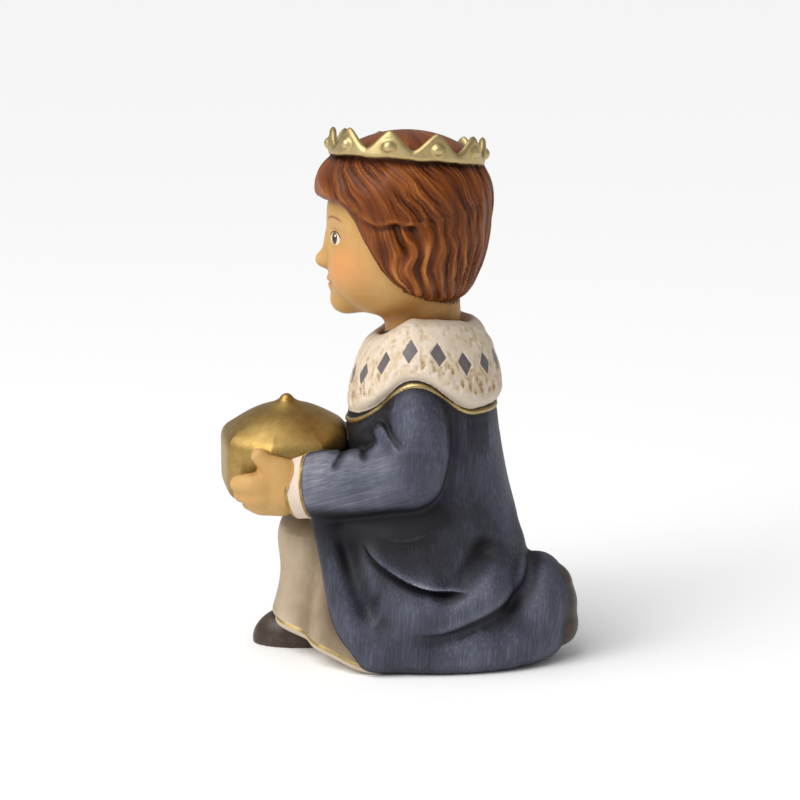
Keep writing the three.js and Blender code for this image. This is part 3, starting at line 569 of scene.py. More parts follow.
def collar(p):
    angle, radius, low, top, share = collar_place(p)
    side = np.cos(angle) ** 2
    height = np.clip(share, -0.2, 1.05)
    sweep = np.sign(height) * np.abs(height) ** (COLLAR["sweep"] - COLLAR["side_sweep"] * side)
    flare = COLLAR["flare"] - COLLAR["front_flare"] * np.maximum(-np.sin(angle), 0)
    outer = COLLAR["reach"] + COLLAR["side_reach"] * side - flare * sweep
    from_diamond = diamond(angle, radius, low, top, share) - 1
    stamp = DIAMONDS["depth"] * ramp(-0.12, 0.12, -from_diamond)
    wall = 0.82 * (radius - outer) + stamp + fur(p, share) * ramp(0, 0.25, from_diamond)
    edged = smooth_max(wall, 0.9 * (low - p[2]), COLLAR["lower_edge"])
    wave = COLLAR["top_wave"] * noise(angle * 2.6, share * 0, share * 0)
    cape = smooth_max(edged, 0.95 * (p[2] - top - wave), COLLAR["top_edge"])
    cup = collar_cup((p[0], p[1] - COLLAR["middle"], p[2] - top - COLLAR["cup_lift"]))
    return smooth_max(cape, -cup, COLLAR["cup_edge"])


def trim(p):
    """A thin raised line on the coat, all the way round under the collar's edge."""
    _, radius, low, _, _ = collar_place(p)
    line = np.maximum(np.abs(p[2] - low + TRIM["below"]) - TRIM["half"], TRIM["inner_radius"] - radius)
    close = line < 1.5
    if close.any():
        under = coat(tuple(value[close] for value in p)) - TRIM["height"]
        line[close] = smooth_max(line[close], under, TRIM["edge"])
    return line


# The head, in a child's plain proportions: skull and jaw, cheeks, chin and neck, then nose and lips
skull = blended(
    ellipsoid((0, 1, 87), (14.4, 15.2, 15)),
    (ellipsoid((0, -2.2, 77.2), (12.4, 11.6, 9.8)), 5),
    (twin(ellipsoid((6.2, -8, 76.4), (4.8, 4.6, 4.6))), 3),
    (ellipsoid((0, -10.6, 70.4), (3.4, 2.9, 2.6)), 3),
    (limb((0, 4.6, 60, 7.6), (0, 4.4, 72, 7.2)), 2.5),
)
FEATURES = [
    (limb((0, -13.2, 83, 0.8), (0, -14.3, 78.8, 1.1)), 1.6),
    (ellipsoid((0, -14.6, 78.3), (1.7, 1.8, 1.5)), 1.4),
    (twin(ellipsoid((1.5, -13.7, 77.9), (0.9, 1.3, 0.9))), 0.7),
    (ellipsoid((0, -12.6, 74.7), (2.5, 1.6, 0.9)), 1),
    (ellipsoid((0, -12.3, 73.3), (1.9, 1.5, 0.9)), 1),
]

# Soft dents and bumps of the face as (depth, middle (x, z), size (x, z)): eyes, mouth and the groove over it
EYES = [
    (0.75, (5.6, 83.2), (2.8, 2.1)), (-0.42, (5.7, 83.1), (1.7, 1.15)), (0.22, (5.7, 84.7), (2.3, 0.35)),
    (0.1, (5.7, 81.8), (1.9, 0.3)),
]
MOUTH = (0.3, (0, 74.05), (2.4, 0.25))
MOUTH_CURVE = 0.03
UNDER_NOSE = (0.12, (0, 76.2), (0.5, 0.9))


def bump(x, z, depth, middle, size):
    return depth * np.exp(-(((x - middle[0]) / size[0]) ** 2) - ((z - middle[1]) / size[1]) ** 2)


def head(p):
    x, y, z = p
    eyes = sum(bump(np.abs(x), z, *dent) for dent in EYES) * ramp(5, 9, -y)
    face = blended(lambda q: skull(q) + eyes, *FEATURES)
    mouth = bump(x, z - MOUTH_CURVE * x * x, *MOUTH) + bump(x, z, *UNDER_NOSE)
    return face(p) + mouth * ramp(11, 12.5, -y)


# The hair, a cap of locks combed down from the crown
def guides(paths):
    return [smooth_path(path, 2) for path in paths]


upper_guides = guides(UPPER_LOCKS + BACK_LOCKS)
lower_guides = guides(LOWER_LOCKS + BACK_LOCKS)
ledge_path = smooth_path(LEDGE, 4)


def chart(p):
    return HEAD_REACH * np.arctan2(p[1] - HEAD_MIDDLE, np.abs(p[0])), p[2]


def comb(s, z, paths):
    """Where a place lies among the partings, counted from the front, and its distance from the nearest."""
    found = [path_distance(s, z, path) for path in paths]
    gaps = np.stack([gap for gap, _, _ in found])
    sides = np.stack([side for _, _, side in found])
    order = np.argmin(gaps, axis=0)
    gap = np.take_along_axis(gaps, order[None], 0)[0]
    towards_back = np.take_along_axis(sides, order[None], 0)[0] > 0
    other = order + np.where(towards_back, 1, -1)
    inside = (other >= 0) & (other < len(paths))
    beyond = np.take_along_axis(gaps, np.clip(other, 0, len(paths) - 1)[None], 0)[0]
    share = np.where(inside, gap / np.maximum(gap + beyond, 1e-4), gap / LOCK_SPACING)
    return order + np.where(towards_back, share, -share), gap


def strands_on_chart(s, z):
    """What lock_relief needs at each place of the chart, with the locks a little tousled."""
    spot = (s / 4.2, z / 3.4)
    across = 1.1 * noise(*spot, 0 * s + 3.5)
    down = 0.8 * noise(*spot, 0 * s + 9.5)
    s, z = s + across, z + down
    gap, place, side = path_distance(s, z, ledge_path)
    fade = ramp(0.3, 0.45, place) * ramp(0, 0.3, 1 - place)
    tables = [np.where(side > 0, gap, -gap), fade]
    for paths in (upper_guides, lower_guides):
        among, from_parting = comb(s, z, paths)
        turns = 2 * math.pi * FINE_GROOVES * among
        tables += [among, from_parting, np.sin(math.pi * among) ** 2, np.sin(turns), np.cos(turns)]
    return tables


strands_read = looked_up(strands_on_chart, (-26, 60), (26, 108))


def strand(p):
    """Where a place lies among the locks, counted from the front."""
    over, _, *tables = strands_read(*chart(p))
    return np.where(over > 0, tables[0], tables[5])


def hairline_gap(y, z):
    gap = path_distance(y, z, HAIRLINE)[0]
    ys, zs = zip(*HAIRLINE)
    return [np.where(z < np.interp(y, ys, zs), gap, -gap)]


hairline_read = looked_up(hairline_gap, (-22, 60), (22, 108))


def below_hairline(y, z):
    return hairline_read(y, z)[0]


hair_mass = blended(
    ellipsoid((0, 1.5, 87), (15.8, 16.2, 15)),
    (ellipsoid((0, 3.8, 78.8), (13.6, 11.5, 11.2)), 5),
    (ellipsoid((0, 0.9, 92.6), (15.7, 16, 10.2)), 4),
    (twin(ellipsoid((12, 2.2, 80.5), (3.6, 6.2, 7))), 4),
    (ellipsoid((0, -8.4, 92.8), (11.6, 7.1, 5.2)), 4),
)


def lock_relief(tables, near_ear, drift):
    """Partings, the round of each lock between them, and fine grooves along it."""
    _, gap, middle, sine, cosine = tables
    sizes = (PARTING_DEPTH, PARTING_WIDTH, LOCK_ROUND)
    depth, width, swell = [plain + more * near_ear for plain, more in sizes]
    parting = depth * np.exp(-((gap / width) ** 2)) * np.clip(0.75 + 1.5 * drift, 0, 1.3)
    shift = 2 * math.pi * 0.9 * drift
    fine = FINE_DEPTH * (sine * np.cos(shift) + cosine * np.sin(shift)) * (1 + 1.4 * drift)
    return parting + fine - swell * middle


def hair(p):
    _, y, z = p
    over, fade, *tables = strands_read(*chart(p))
    drift = swells(p, (5, 5, 6))
    near_ear = bump(y, z, *EAR)
    share = ramp(-0.8, 0.8, over)
    upper = lock_relief(tables[:5], near_ear, drift) * (1 - 0.7 * fade * ramp(4, 1, over))
    locks = share * upper + (1 - share) * lock_relief(tables[5:], near_ear, drift)
    under = SHELF["under"] * np.exp(-((over / SHELF["under_width"]) ** 2))
    shelf = (1 - share) * under - share * SHELF["over"] * np.exp(-((over / SHELF["over_width"]) ** 2))
    tousle = TOUSLE * swells(p, (2.6, 2.6, 3.6)) * (0.5 + near_ear)
    relief = (locks + tousle + 0.1) * ramp(0, 5, HAIR_TOP - z) + shelf * fade
    return smooth_max(hair_mass(p) + relief, below_hairline(y, z), HAIR_EDGE)


def crown(p):
    x, y, z = moved(p, CROWN["middle"])
    y, z = turned(y, z, CROWN["back"])
    x, z = turned(x, z, -CROWN["right"])
    sector = 2 * math.pi / CROWN["points"]
    turn = np.arctan2(y, x) - math.radians(CROWN["first"]) + sector / 2
    across = CROWN["radius"] * (turn % sector - sector / 2)
    out = np.hypot(x, y) - CROWN["radius"]
    slope = np.maximum(1 - np.abs(across) / CROWN["half_width"], 0)
    rising = CROWN["straight"] * slope + (1 - CROWN["straight"]) * ramp(0, 1, slope)
    wave = CROWN["wave"] * noise(across / 3, z * 0, turn)
    f = smooth_max(np.abs(out) - CROWN["thickness"] / 2, -z - wave, CROWN["lower_edge"])
    f = smooth_max(f, 0.7 * (z - CROWN["band"] - CROWN["rise"] * rising), CROWN["point_edge"])
    bead = length(across, out - CROWN["bead_out"], z - CROWN["bead_height"]) - CROWN["bead"]
    return smooth_min(f, bead, CROWN["bead_blend"])


# The parts, each with its distance and the lowest and highest corner of a box around it
PARTS = {
    "coat": (coat, (-24, -23, -3), (25, 36, 66)),
    "tunic": (tunic, (-20, -31, -3), (22, 9, 35)),
    "shoes": (shoes, (-12, -38, -7), (13, 38, 22)),
    "casket": (casket, (-16, -38, 28), (16, -7, 55)),
    "hands": (hands, (-19, -34, 26), (19, -9, 48)),
    "cuff": (cuff, (-20, -26, 26), (20, -10, 47)),
    "collar": (collar, (-20, -14, 43), (20, 24, 71)),
    "trim": (trim, (-20, -14, 43), (20, 24, 61)),
    "head": (head, (-17, -20, 50), (17, 19, 104)),
    "hair": (hair, (-19, -20, 66), (19, 22, 106)),
    "crown": (crown, (-18, -18, 92), (18, 19, 107)),
}
LOW = np.array([-23.5, -37, -1.5])
HIGH = np.array([23.5, 37, 106.5])
THREADS = 4
SHARES = 16


def part_distance(name, points):
    """The distance of a part at rows of points, FAR outside its box."""
    distance, low, high = PARTS[name]
    near = np.all((points > np.array(low) - 0.5) & (points < np.array(high) + 0.5), axis=1)
    result = np.full(len(points), FAR, np.float32)
    if near.any():
        result[near] = np.minimum(distance(tuple(points[near].T.astype(np.float32))), FAR)
    return result


def joined(points):
    total = np.full(len(points), FAR, np.float32)
    for name in PARTS:
        total = smooth_min(total, part_distance(name, points), JOIN)
    return np.maximum(total, -points[:, 2]).astype(np.float32)


def whole(points):
    """The distance of the whole figure, worked out a share of the points at a time side by side."""
    with ThreadPoolExecutor(THREADS) as pool:
        return np.concatenate(list(pool.map(joined, np.array_split(points, SHARES))))


# Meshing
BLOCKS_AT_A_TIME = 16000
NEAR_BLOCK = 0.9
NEAR_EXTRA = 1.1


def sample_field():
    """The whole figure on a grid, worked out closely only in the blocks near its surface."""
    size = CELL * BLOCK
    count = np.ceil((HIGH - LOW) / size).astype(int)
    blocks = np.stack(np.meshgrid(*[np.arange(n) for n in count], indexing="ij"), -1).reshape(-1, 3)
    middle = whole(LOW + (blocks + 0.5) * size - CELL / 2)
    field = middle.reshape(count)
    for axis in range(3):
        field = np.repeat(field, BLOCK, axis)
    close = blocks[np.abs(middle) < NEAR_BLOCK * size + NEAR_EXTRA]
    steps = np.stack(np.meshgrid(*[np.arange(BLOCK)] * 3, indexing="ij"), -1).reshape(-1, 3)
    for group in np.array_split(close, max(1, len(close) // BLOCKS_AT_A_TIME)):
        spots = (group[:, None] * BLOCK + steps[None]).reshape(-1, 3)
        field[tuple(spots.T)] = whole(LOW + spots * CELL)
    return field


def fill_saddles(field):
    """Fills each cell face that has only two opposite corners inside: its edge would have four quads."""
    just_inside = -0.02
    for _ in range(4):
        for u, v in ((0, 1), (1, 2), (2, 0)):
            face = np.moveaxis(field, (u, v), (0, 1))
            corners = [face[:-1, :-1], face[1:, :-1], face[1:, 1:], face[:-1, 1:]]
            a, b, c, d = [corner < 0 for corner in corners]
            saddle = (a == c) & (b == d) & (a != b)
            corners[0][saddle & ~a] = just_inside
            corners[1][saddle & ~b] = just_inside


def surface_nets(field):
    """One vertex in each cell that the surface crosses, one quad across each crossed grid edge."""
    inside = field < 0
    mixed = np.zeros([n - 1 for n in field.shape], np.uint8)
    corners = list(itertools.product((0, 1), repeat=3))
    for c in corners:
        mixed += inside[tuple(slice(k, n - 1 + k) for k, n in zip(c, field.shape))]
    crossed = (mixed > 0) & (mixed < 8)
    cells = np.argwhere(crossed)
    index = np.full(crossed.shape, -1, np.int64)
    index[crossed] = np.arange(len(cells))
    values = {c: field[tuple((cells + c).T)] for c in corners}
    total = np.zeros((len(cells), 3))
    hits = np.zeros(len(cells))
    for a, b in itertools.combinations(corners, 2):
        if sum(abs(i - j) for i, j in zip(a, b)) == 1:
            hit = (values[a] < 0) != (values[b] < 0)
            t = np.where(hit, values[a] / np.where(hit, values[a] - values[b], 1), 0)
            total += np.where(hit[:, None], np.array(a) + t[:, None] * (np.array(b) - np.array(a)), 0)
            hits += hit
    vertices = LOW + CELL * (cells + total / hits[:, None])
    quads = []
    for axis in range(3):
        u, v = np.eye(3, dtype=int)[[(axis + 1) % 3, (axis + 2) % 3]]
        edges = np.argwhere(np.diff(inside, axis=axis))
        ring = np.stack([index[tuple((edges - du * u - dv * v).T)]
                         for du, dv in ((1, 1), (0, 1), (0, 0), (1, 0))], 1)
        outward = inside[tuple(edges.T)]
        ring[~outward] = ring[~outward][:, ::-1]
        quads.append(ring)
    return vertices, np.vstack(quads)


TETRAHEDRON = np.array([(1, -1, -1), (-1, -1, 1), (-1, 1, -1), (1, 1, 1)], float)


def largest_piece(vertices, faces):
    """Leaves out what doesn't hang together with the figure's outer surface."""
    label = np.arange(len(vertices))
    while True:
        lowest_label = label[faces].min(axis=1)
        new = label.copy()
        np.minimum.at(new, faces.ravel(), np.repeat(lowest_label, faces.shape[1]))
        new = new[new]
        if np.array_equal(new, label):
            break
        label = new
    keep = label == np.bincount(label).argmax()
    renumber = np.cumsum(keep) - 1
    return vertices[keep], renumber[faces[keep[faces[:, 0]]]]


def make_mesh(name, vertices, faces):
    mesh = bpy.data.meshes.new(name)
    mesh.vertices.add(len(vertices))
    mesh.vertices.foreach_set("co", vertices.astype(np.float32).ravel())
    mesh.loops.add(faces.size)
    mesh.loops.foreach_set("vertex_index", faces.astype(np.int32).ravel())
    mesh.polygons.add(len(faces))
    mesh.polygons.foreach_set("loop_start", np.arange(0, faces.size, faces.shape[1], dtype=np.int32))
    mesh.update(calc_edges=True)
    return mesh


def thinned(mesh, triangles):
    """The mesh with about so many triangles, most of them where the surface bends."""
    piece = bpy.data.objects.new("thinning", mesh)
    bpy.context.scene.collection.objects.link(piece)
    piece.modifiers.new("split", "TRIANGULATE")
    fewer = piece.modifiers.new("fewer", "DECIMATE")
    fewer.ratio = min(1, triangles / (2 * len(mesh.polygons)))
    ready = piece.evaluated_get(bpy.context.evaluated_depsgraph_get())
    result = bpy.data.meshes.new_from_object(ready)
    bpy.data.objects.remove(piece)
    return result


def around(points, step):
    """The surface's slope, and how much it bulges, from the distances at four places about each point."""
    values = [whole(points + step * corner) for corner in TETRAHEDRON]
    slope = sum(value[:, None] * corner for value, corner in zip(values, TETRAHEDRON)) / (4 * step)
    return slope, np.clip(sum(values) / (2 * step ** 2), -3, 3)


def settle(points):
    """Moves the vertices onto the carved surface, and leaves those of the underside on the ground."""
    underside = 0.12
    longest_move = 0.2
    grounded = points[:, 2] < underside
    slope = around(points, 0.05)[0]
    steep = np.maximum((slope ** 2).sum(axis=1), 0.3)
    for _ in range(2):
        move = -slope * (np.clip(whole(points), -longest_move, longest_move) / steep)[:, None]
        points = points + np.where(grounded[:, None], 0, move)
    points[grounded, 2] = 0
    points[:, 2] = np.maximum(points[:, 2], 0)
    return points


def carve():
    field = sample_field()
    fill_saddles(field)
    vertices, faces = largest_piece(*surface_nets(field))
    return thinned(make_mesh("carving", vertices, faces), TRIANGLES)


# Painting: what each vertex belongs to, and how hollow or bulging its place is, which the paints turn into
# painted shade, the fur's wash, worn paint and painted highlight. The painted parts come in the order in which
# they are laid over the coat's paint.
PAINTED = ("tunic", "shoes", "cuff", "collar", "skin", "hair", "gold")
HOLLOW_REACHES = dict(hollow=0.8, depth=3.2, shade=9)
BULGE_STEPS = dict(bend=0.26, swell=0.9)


def leads(points):
    """By how much each painted part is nearer than all the others."""
    near = {name: part_distance(name, points) for name in PARTS}
    parts = {name: near[name] for name in ("coat", "tunic", "shoes", "cuff", "collar", "hair")}
    parts["skin"] = np.minimum(near["head"], near["hands"])
    parts["gold"] = np.minimum(np.minimum(near["casket"], near["crown"]), near["trim"])
    result = {}
    for name in PAINTED:
        others = np.min([distance for other, distance in parts.items() if other != name], axis=0)
        result[name] = np.clip(others - parts[name], -3, 3)
    return result


# How crowded a place is by the surface nearby: the measure for painted shade in hollows, creases and under
# things, and for the fur's wash
def hollowness(points, normals, reach):
    return np.clip(1 - whole(points + normals * reach) / reach, 0, 1)


def paint_places(points, normals):
    places = leads(points)
    x, y, z = points.T
    q = (np.abs(x), y, z - np.where(x < 0, RIGHT_ARM_LIFT, 0))
    p = tuple(points.T.astype(np.float32))
    upper, fore = upper_arm(q), forearm(q)
    near_arm = np.minimum(upper, fore)
    places["forearm"] = ramp(-1.5, 1.5, upper - fore) * ramp(-1.5, 0.5, 2 - near_arm)
    places["wrist"] = wrist_place(q)[0]
    # How near a place lies below an arm, for the painted shade there
    places["under_arm"] = np.exp(-np.maximum(near_arm, 0) / 4.5) * ramp(-1, 3, 33 - z)
    places["hem"] = hem_height(p)
    places["collar_share"] = collar_place(p)[4]
    places["diamond"] = diamond(*collar_place(p))
    places["strand"] = strand(p)
    places["hairline"] = below_hairline(p[1], p[2])
    other_gold = np.minimum(part_distance("crown", points), part_distance("trim", points))
    places["casket"] = other_gold - part_distance("casket", points)
    for name, reach in HOLLOW_REACHES.items():
        places[name] = hollowness(points, normals, reach)
    for name, step in BULGE_STEPS.items():
        places[name] = around(points, step)[1]
    return places


def finish_mesh(mesh):
    points = np.empty(len(mesh.vertices) * 3, np.float32)
    mesh.vertices.foreach_get("co", points)
    points = settle(points.reshape(-1, 3).astype(float))
    normals = around(points, 0.06)[0]
    normals /= np.maximum(np.linalg.norm(normals, axis=1, keepdims=True), 1e-6)
    for name, values in paint_places(points, normals).items():
        layer = mesh.attributes.new(name, "FLOAT", "POINT")
        layer.data.foreach_set("value", np.asarray(values, np.float32))
    mesh.vertices.foreach_set("co", (points / 1000).astype(np.float32).ravel())
    mesh.polygons.foreach_set("use_smooth", np.ones(len(mesh.polygons), bool))
    mesh.update()
    mesh.normals_split_custom_set_from_vertices(normals)
    mesh.update()


# Shader arithmetic
material = bpy.data.materials.new("painted_bisque")
material.use_nodes = True
tree = material.node_tree
tree.nodes.clear()


def feed(socket, value):
    if isinstance(value, bpy.types.NodeSocket):
        tree.links.new(value, socket)
    else:
        socket.default_value = value


def node(kind, inputs=None, **settings):
    made = tree.nodes.new(kind)
    for name, value in settings.items():
        setattr(made, name, value)
    for key, value in (inputs or {}).items():
        feed(made.inputs[key], value)
    return made


def calc(operation, *values):
    return node("ShaderNodeMath", dict(enumerate(values)), operation=operation).outputs[0]


def add(*values):
    return functools.reduce(lambda a, b: calc("ADD", a, b), values)


def times(*values):
    return functools.reduce(lambda a, b: calc("MULTIPLY", a, b), values)


def less(a, b):
    return calc("SUBTRACT", a, b)


def swing(value, amount):
    """What a noise around 0.5 adds and takes away."""
    return times(less(value, 0.5), amount)


def between(low, high, value):
    """0 below low, 1 above high, smooth between."""
    return node("ShaderNodeMapRange", {"Value": value, "From Min": low, "From Max": high},
                interpolation_type="SMOOTHSTEP").outputs[0]


def below(low, high, value):
    """1 below low, 0 above high, smooth between."""
    return less(1, between(low, high, value))


def near_line(value, middle, half, soft=0.05):
    """1 where value is within half of middle."""
    return below(half - soft, half + soft, calc("ABSOLUTE", less(value, middle)))


def linear(rgb):
    shares = [value / 255 for value in rgb]
    return tuple(c / 12.92 if c <= 0.04045 else ((c + 0.055) / 1.055) ** 2.4 for c in shares) + (1,)


def colour(value):
    return value if isinstance(value, bpy.types.NodeSocket) else linear(value)


def mix(share, a, b):
    return node("ShaderNodeMix", {0: share, 6: colour(a), 7: colour(b)}, data_type="RGBA").outputs[2]


def mix_number(share, a, b):
    return node("ShaderNodeMix", {0: share, 2: a, 3: b}, data_type="FLOAT").outputs[0]


def shades(value, stops):
    """A colour ramp through stops (place, sRGB)."""
    made = node("ShaderNodeValToRGB", {0: value})
    elements = made.color_ramp.elements
    while len(elements) < len(stops):
        elements.new(0.5)
    for element, (place, rgb) in zip(elements, stops):
        element.position = place
        element.color = linear(rgb)
    return made.outputs[0]


def place_of(name):
    return node("ShaderNodeAttribute", attribute_name=name, attribute_type="GEOMETRY").outputs["Fac"]


def vector_calc(operation, *values):
    return node("ShaderNodeVectorMath", dict(enumerate(values)), operation=operation)


def vector(x, y, z):
    return node("ShaderNodeCombineXYZ", {0: x, 1: y, 2: z}).outputs[0]


metres = node("ShaderNodeTexCoord").outputs["Object"]
position = vector_calc("MULTIPLY", metres, (1000, 1000, 1000)).outputs[0]
px, py, pz = node("ShaderNodeSeparateXYZ", {0: position}).outputs
side_x = calc("ABSOLUTE", px)
forward = times(py, -1)


def grain(place, scale, detail=2, roughness=0.5, distortion=0):
    made = node("ShaderNodeTexNoise", {"Vector": place, "Scale": scale, "Detail": detail,
                                       "Roughness": roughness, "Distortion": distortion})
    return made.outputs["Fac"]


def brushed(direction, stretch):
    """The position drawn together along a direction, so that noise on it runs in strokes that way."""
    place = vector(side_x, py, pz)
    along = vector_calc("DOT_PRODUCT", place, direction).outputs["Value"]
    pull = node("ShaderNodeVectorMath", {0: direction, "Scale": times(along, stretch)}, operation="SCALE")
    return vector_calc("SUBTRACT", place, pull.outputs[0]).outputs[0]


at = {name: place_of(name) for name in (
    *PAINTED, *HOLLOW_REACHES, *BULGE_STEPS, "forearm", "wrist", "under_arm", "hem", "collar_share",
    "diamond", "strand", "hairline", "casket")}
blotches = grain(position, 0.16, 3)
mottle = grain(position, 0.55, 3)
speckle = grain(position, 4.5, 3)

# Colour ramps in sRGB along a tone from 0 to 1. A higher tone is lighter, from worn paint and painted
# highlight, and a lower one darker, down into painted shade; but on the fur a higher tone is a stronger brown
# wash, and on the skin deeper painted shade.
RAMPS = dict(
    coat=[(0, (22, 22, 27)), (0.28, (44, 45, 54)), (0.5, (66, 68, 82)), (0.7, (92, 94, 108)),
          (1, (142, 142, 146))],
    tunic=[(0, (92, 76, 58)), (0.35, (136, 118, 94)), (0.6, (172, 154, 130)), (1, (204, 190, 168))],
    fur=[(0, (212, 197, 180)), (0.3, (203, 184, 158)), (0.55, (188, 164, 131)), (0.8, (160, 133, 98)),
         (1, (132, 104, 72))],
    skin=[(0, (199, 161, 104)), (0.35, (184, 141, 82)), (0.7, (161, 114, 61)), (1, (124, 77, 37))],
    hair=[(0, (50, 21, 4)), (0.28, (79, 36, 8)), (0.5, (108, 53, 13)), (0.74, (142, 80, 29)),
          (1, (184, 121, 62))],
    pale_gold=[(0, (104, 82, 46)), (0.45, (186, 164, 114)), (1, (222, 208, 164))],
    deep_gold=[(0, (86, 62, 24)), (0.45, (157, 127, 69)), (1, (208, 182, 124))],
    shoes=[(0, (30, 24, 20)), (0.5, (62, 51, 42)), (1, (92, 80, 70))],
)
HEM_COLOUR = (186, 170, 148)
STONES = ((78, 72, 74), (116, 108, 108))
LINING = ((206, 184, 166), (222, 204, 188))
BLUSH = (212, 128, 74)

# How much each measure of a place adds to a paint's tone. On the fur, the weights lay its brown wash into the
# dimples and keep it off the bulges. Elsewhere the weights on hollow, depth and shade are painted shade in
# hollows, creases and under things (positive on the skin, whose ramp darkens as the tone rises). Those on swell
# and bend are painted highlight on raised places, on the coat also worn paint, and forearm lightens the coat's
# forearms.
WASH_WEAR_AND_SHADE = dict(
    coat=dict(swell=0.16, bend=0.03, depth=-0.24, hollow=-0.3, shade=-0.45, forearm=0.22),
    tunic=dict(swell=0.15, depth=-0.3, hollow=-0.4, shade=-0.35),
    fur=dict(bend=-0.07, hollow=0.35, swell=-0.3),
    skin=dict(hollow=0.4, depth=0.25, shade=0.25),
    hair=dict(bend=0.05, swell=0.17, hollow=-0.3, shade=-0.15),
    gold=dict(hollow=-0.6),
    shoes=dict(bend=0.1, hollow=-0.5),
)

# The coat's brush strokes: how they run on cloth that hangs and along the forearms, and how long they are
STROKES_DOWN = (0, 0.08, 0.997)
STROKES_ALONG = (-0.25, -0.93, -0.3)
STROKE_STRETCH = 0.955
STROKE_GRAIN = dict(scale=3.2, detail=5, roughness=0.58, distortion=0.2)
STRANDS_TO_A_LOCK = 7


def toned(name, *values):
    """The tone of a paint: the values, and the measures of the place by that paint's weights."""
    return add(*values, *[times(at[place], weight) for place, weight in WASH_WEAR_AND_SHADE[name].items()])


# Each paint gives its colour, its roughness and its relief, None where the coat's relief is kept
def coat_paint():
    """Slate blue, dry-brushed lighter along the strokes, lighter on the forearms and raised places from worn
    paint and painted highlight, with painted shade in the folds, under the arms and over the deep crease, a
    painted highlight on the shoulders, and darker towards the front and the back.
    """
    ways = (STROKES_DOWN, STROKES_ALONG)
    down, along = [grain(brushed(way, STROKE_STRETCH), **STROKE_GRAIN) for way in ways]
    strokes = mix_number(at["forearm"], down, along)
    patches = grain(vector(px, py, times(pz, 0.45)), 0.11, 3, 0.55)
    # Painted shade below the arms, fading up to the chest, and in the hollow over the deep crease
    under_arm = times(at["under_arm"], below(38, 50, pz))
    pouch_shade = times(between(13, 18, pz), below(28, 34, pz), between(4, 8, px),
                     between(-9, -3, py), below(8, 14, py))
    # The tone: strokes, patches and dry brushing, the painted shade, darker towards the front and the back, and
    # a painted highlight on the shoulders
    tone = toned("coat", 0.53, swing(strokes, 0.42), swing(patches, 0.75),
                 times(between(0.5, 0.72, strokes), 0.07), times(under_arm, -0.9), times(pouch_shade, -0.1),
                 times(below(4, 13, py), -0.12), times(between(21, 25, py), -0.1),
                 times(between(50, 56, pz), 0.08))
    return shades(tone, RAMPS["coat"]), mix_number(strokes, 0.62, 0.5), times(strokes, 0.022)


def tunic_paint():
    soft = grain(brushed((0, 0, 1), 0.85), 1.2, 3)
    # Painted shade low on the tunic, behind its front, where it meets the coat; the hollows take painted shade
    # too
    shade_beside_coat = times(between(-21, -11, py), below(6, 20, pz))
    tone = toned("tunic", 0.58, swing(soft, 0.12), swing(blotches, 0.4), times(shade_beside_coat, -0.34))
    return mix(below(0.85, 1.05, at["hem"]), shades(tone, RAMPS["tunic"]), HEM_COLOUR), 0.62, 0


def shoe_paint():
    # Brown, lighter on bends as painted highlight and darker in hollows as painted shade
    return shades(toned("shoes", 0.5, swing(mottle, 0.7)), RAMPS["shoes"]), 0.36, None


def lining_paint():
    return mix(mottle, *LINING), 0.55, None


def fur_paint():
    """Cream, with a brown wash in its dimples and along a band, and the diamonds as dark stones."""
    band = times(near_line(at["collar_share"], 0.36, 0.16, 0.14), less(blotches, 0.3), 0.5)
    wash = toned("fur", 0.2, swing(mottle, 0.7), swing(speckle, 0.12), band)
    wash = times(wash, between(0.02, 0.22, at["collar_share"]))
    stones = below(0.9, 1, add(at["diamond"], swing(mottle, 0.25)))
    paint = mix(stones, shades(wash, RAMPS["fur"]), mix(mottle, *STONES))
    return paint, mix_number(stones, 0.6, 0.42), None


def ellipse(x, z, middle, radii):
    """Distance from a place's middle, 1 at the ellipse."""
    across = times(less(x, middle[0]), 1 / radii[0])
    up = times(less(z, middle[1]), 1 / radii[1])
    return calc("SQRT", add(times(across, across), times(up, up)))


def skin_paint():
    # Darker in hollows, under the jaw and between the fingers as painted shade, with a blush on the cheeks
    tone = toned("skin", 0.2, swing(mottle, 0.2), swing(blotches, 0.3))
    from_cheek = ellipse(side_x, pz, (9.2, 78), (3.7, 4))
    blush = times(calc("EXPONENT", times(from_cheek, from_cheek, -1)), between(2, 8, forward), 0.5)
    return face_paint(mix(blush, shades(tone, RAMPS["skin"]), BLUSH)), 0.5, 0


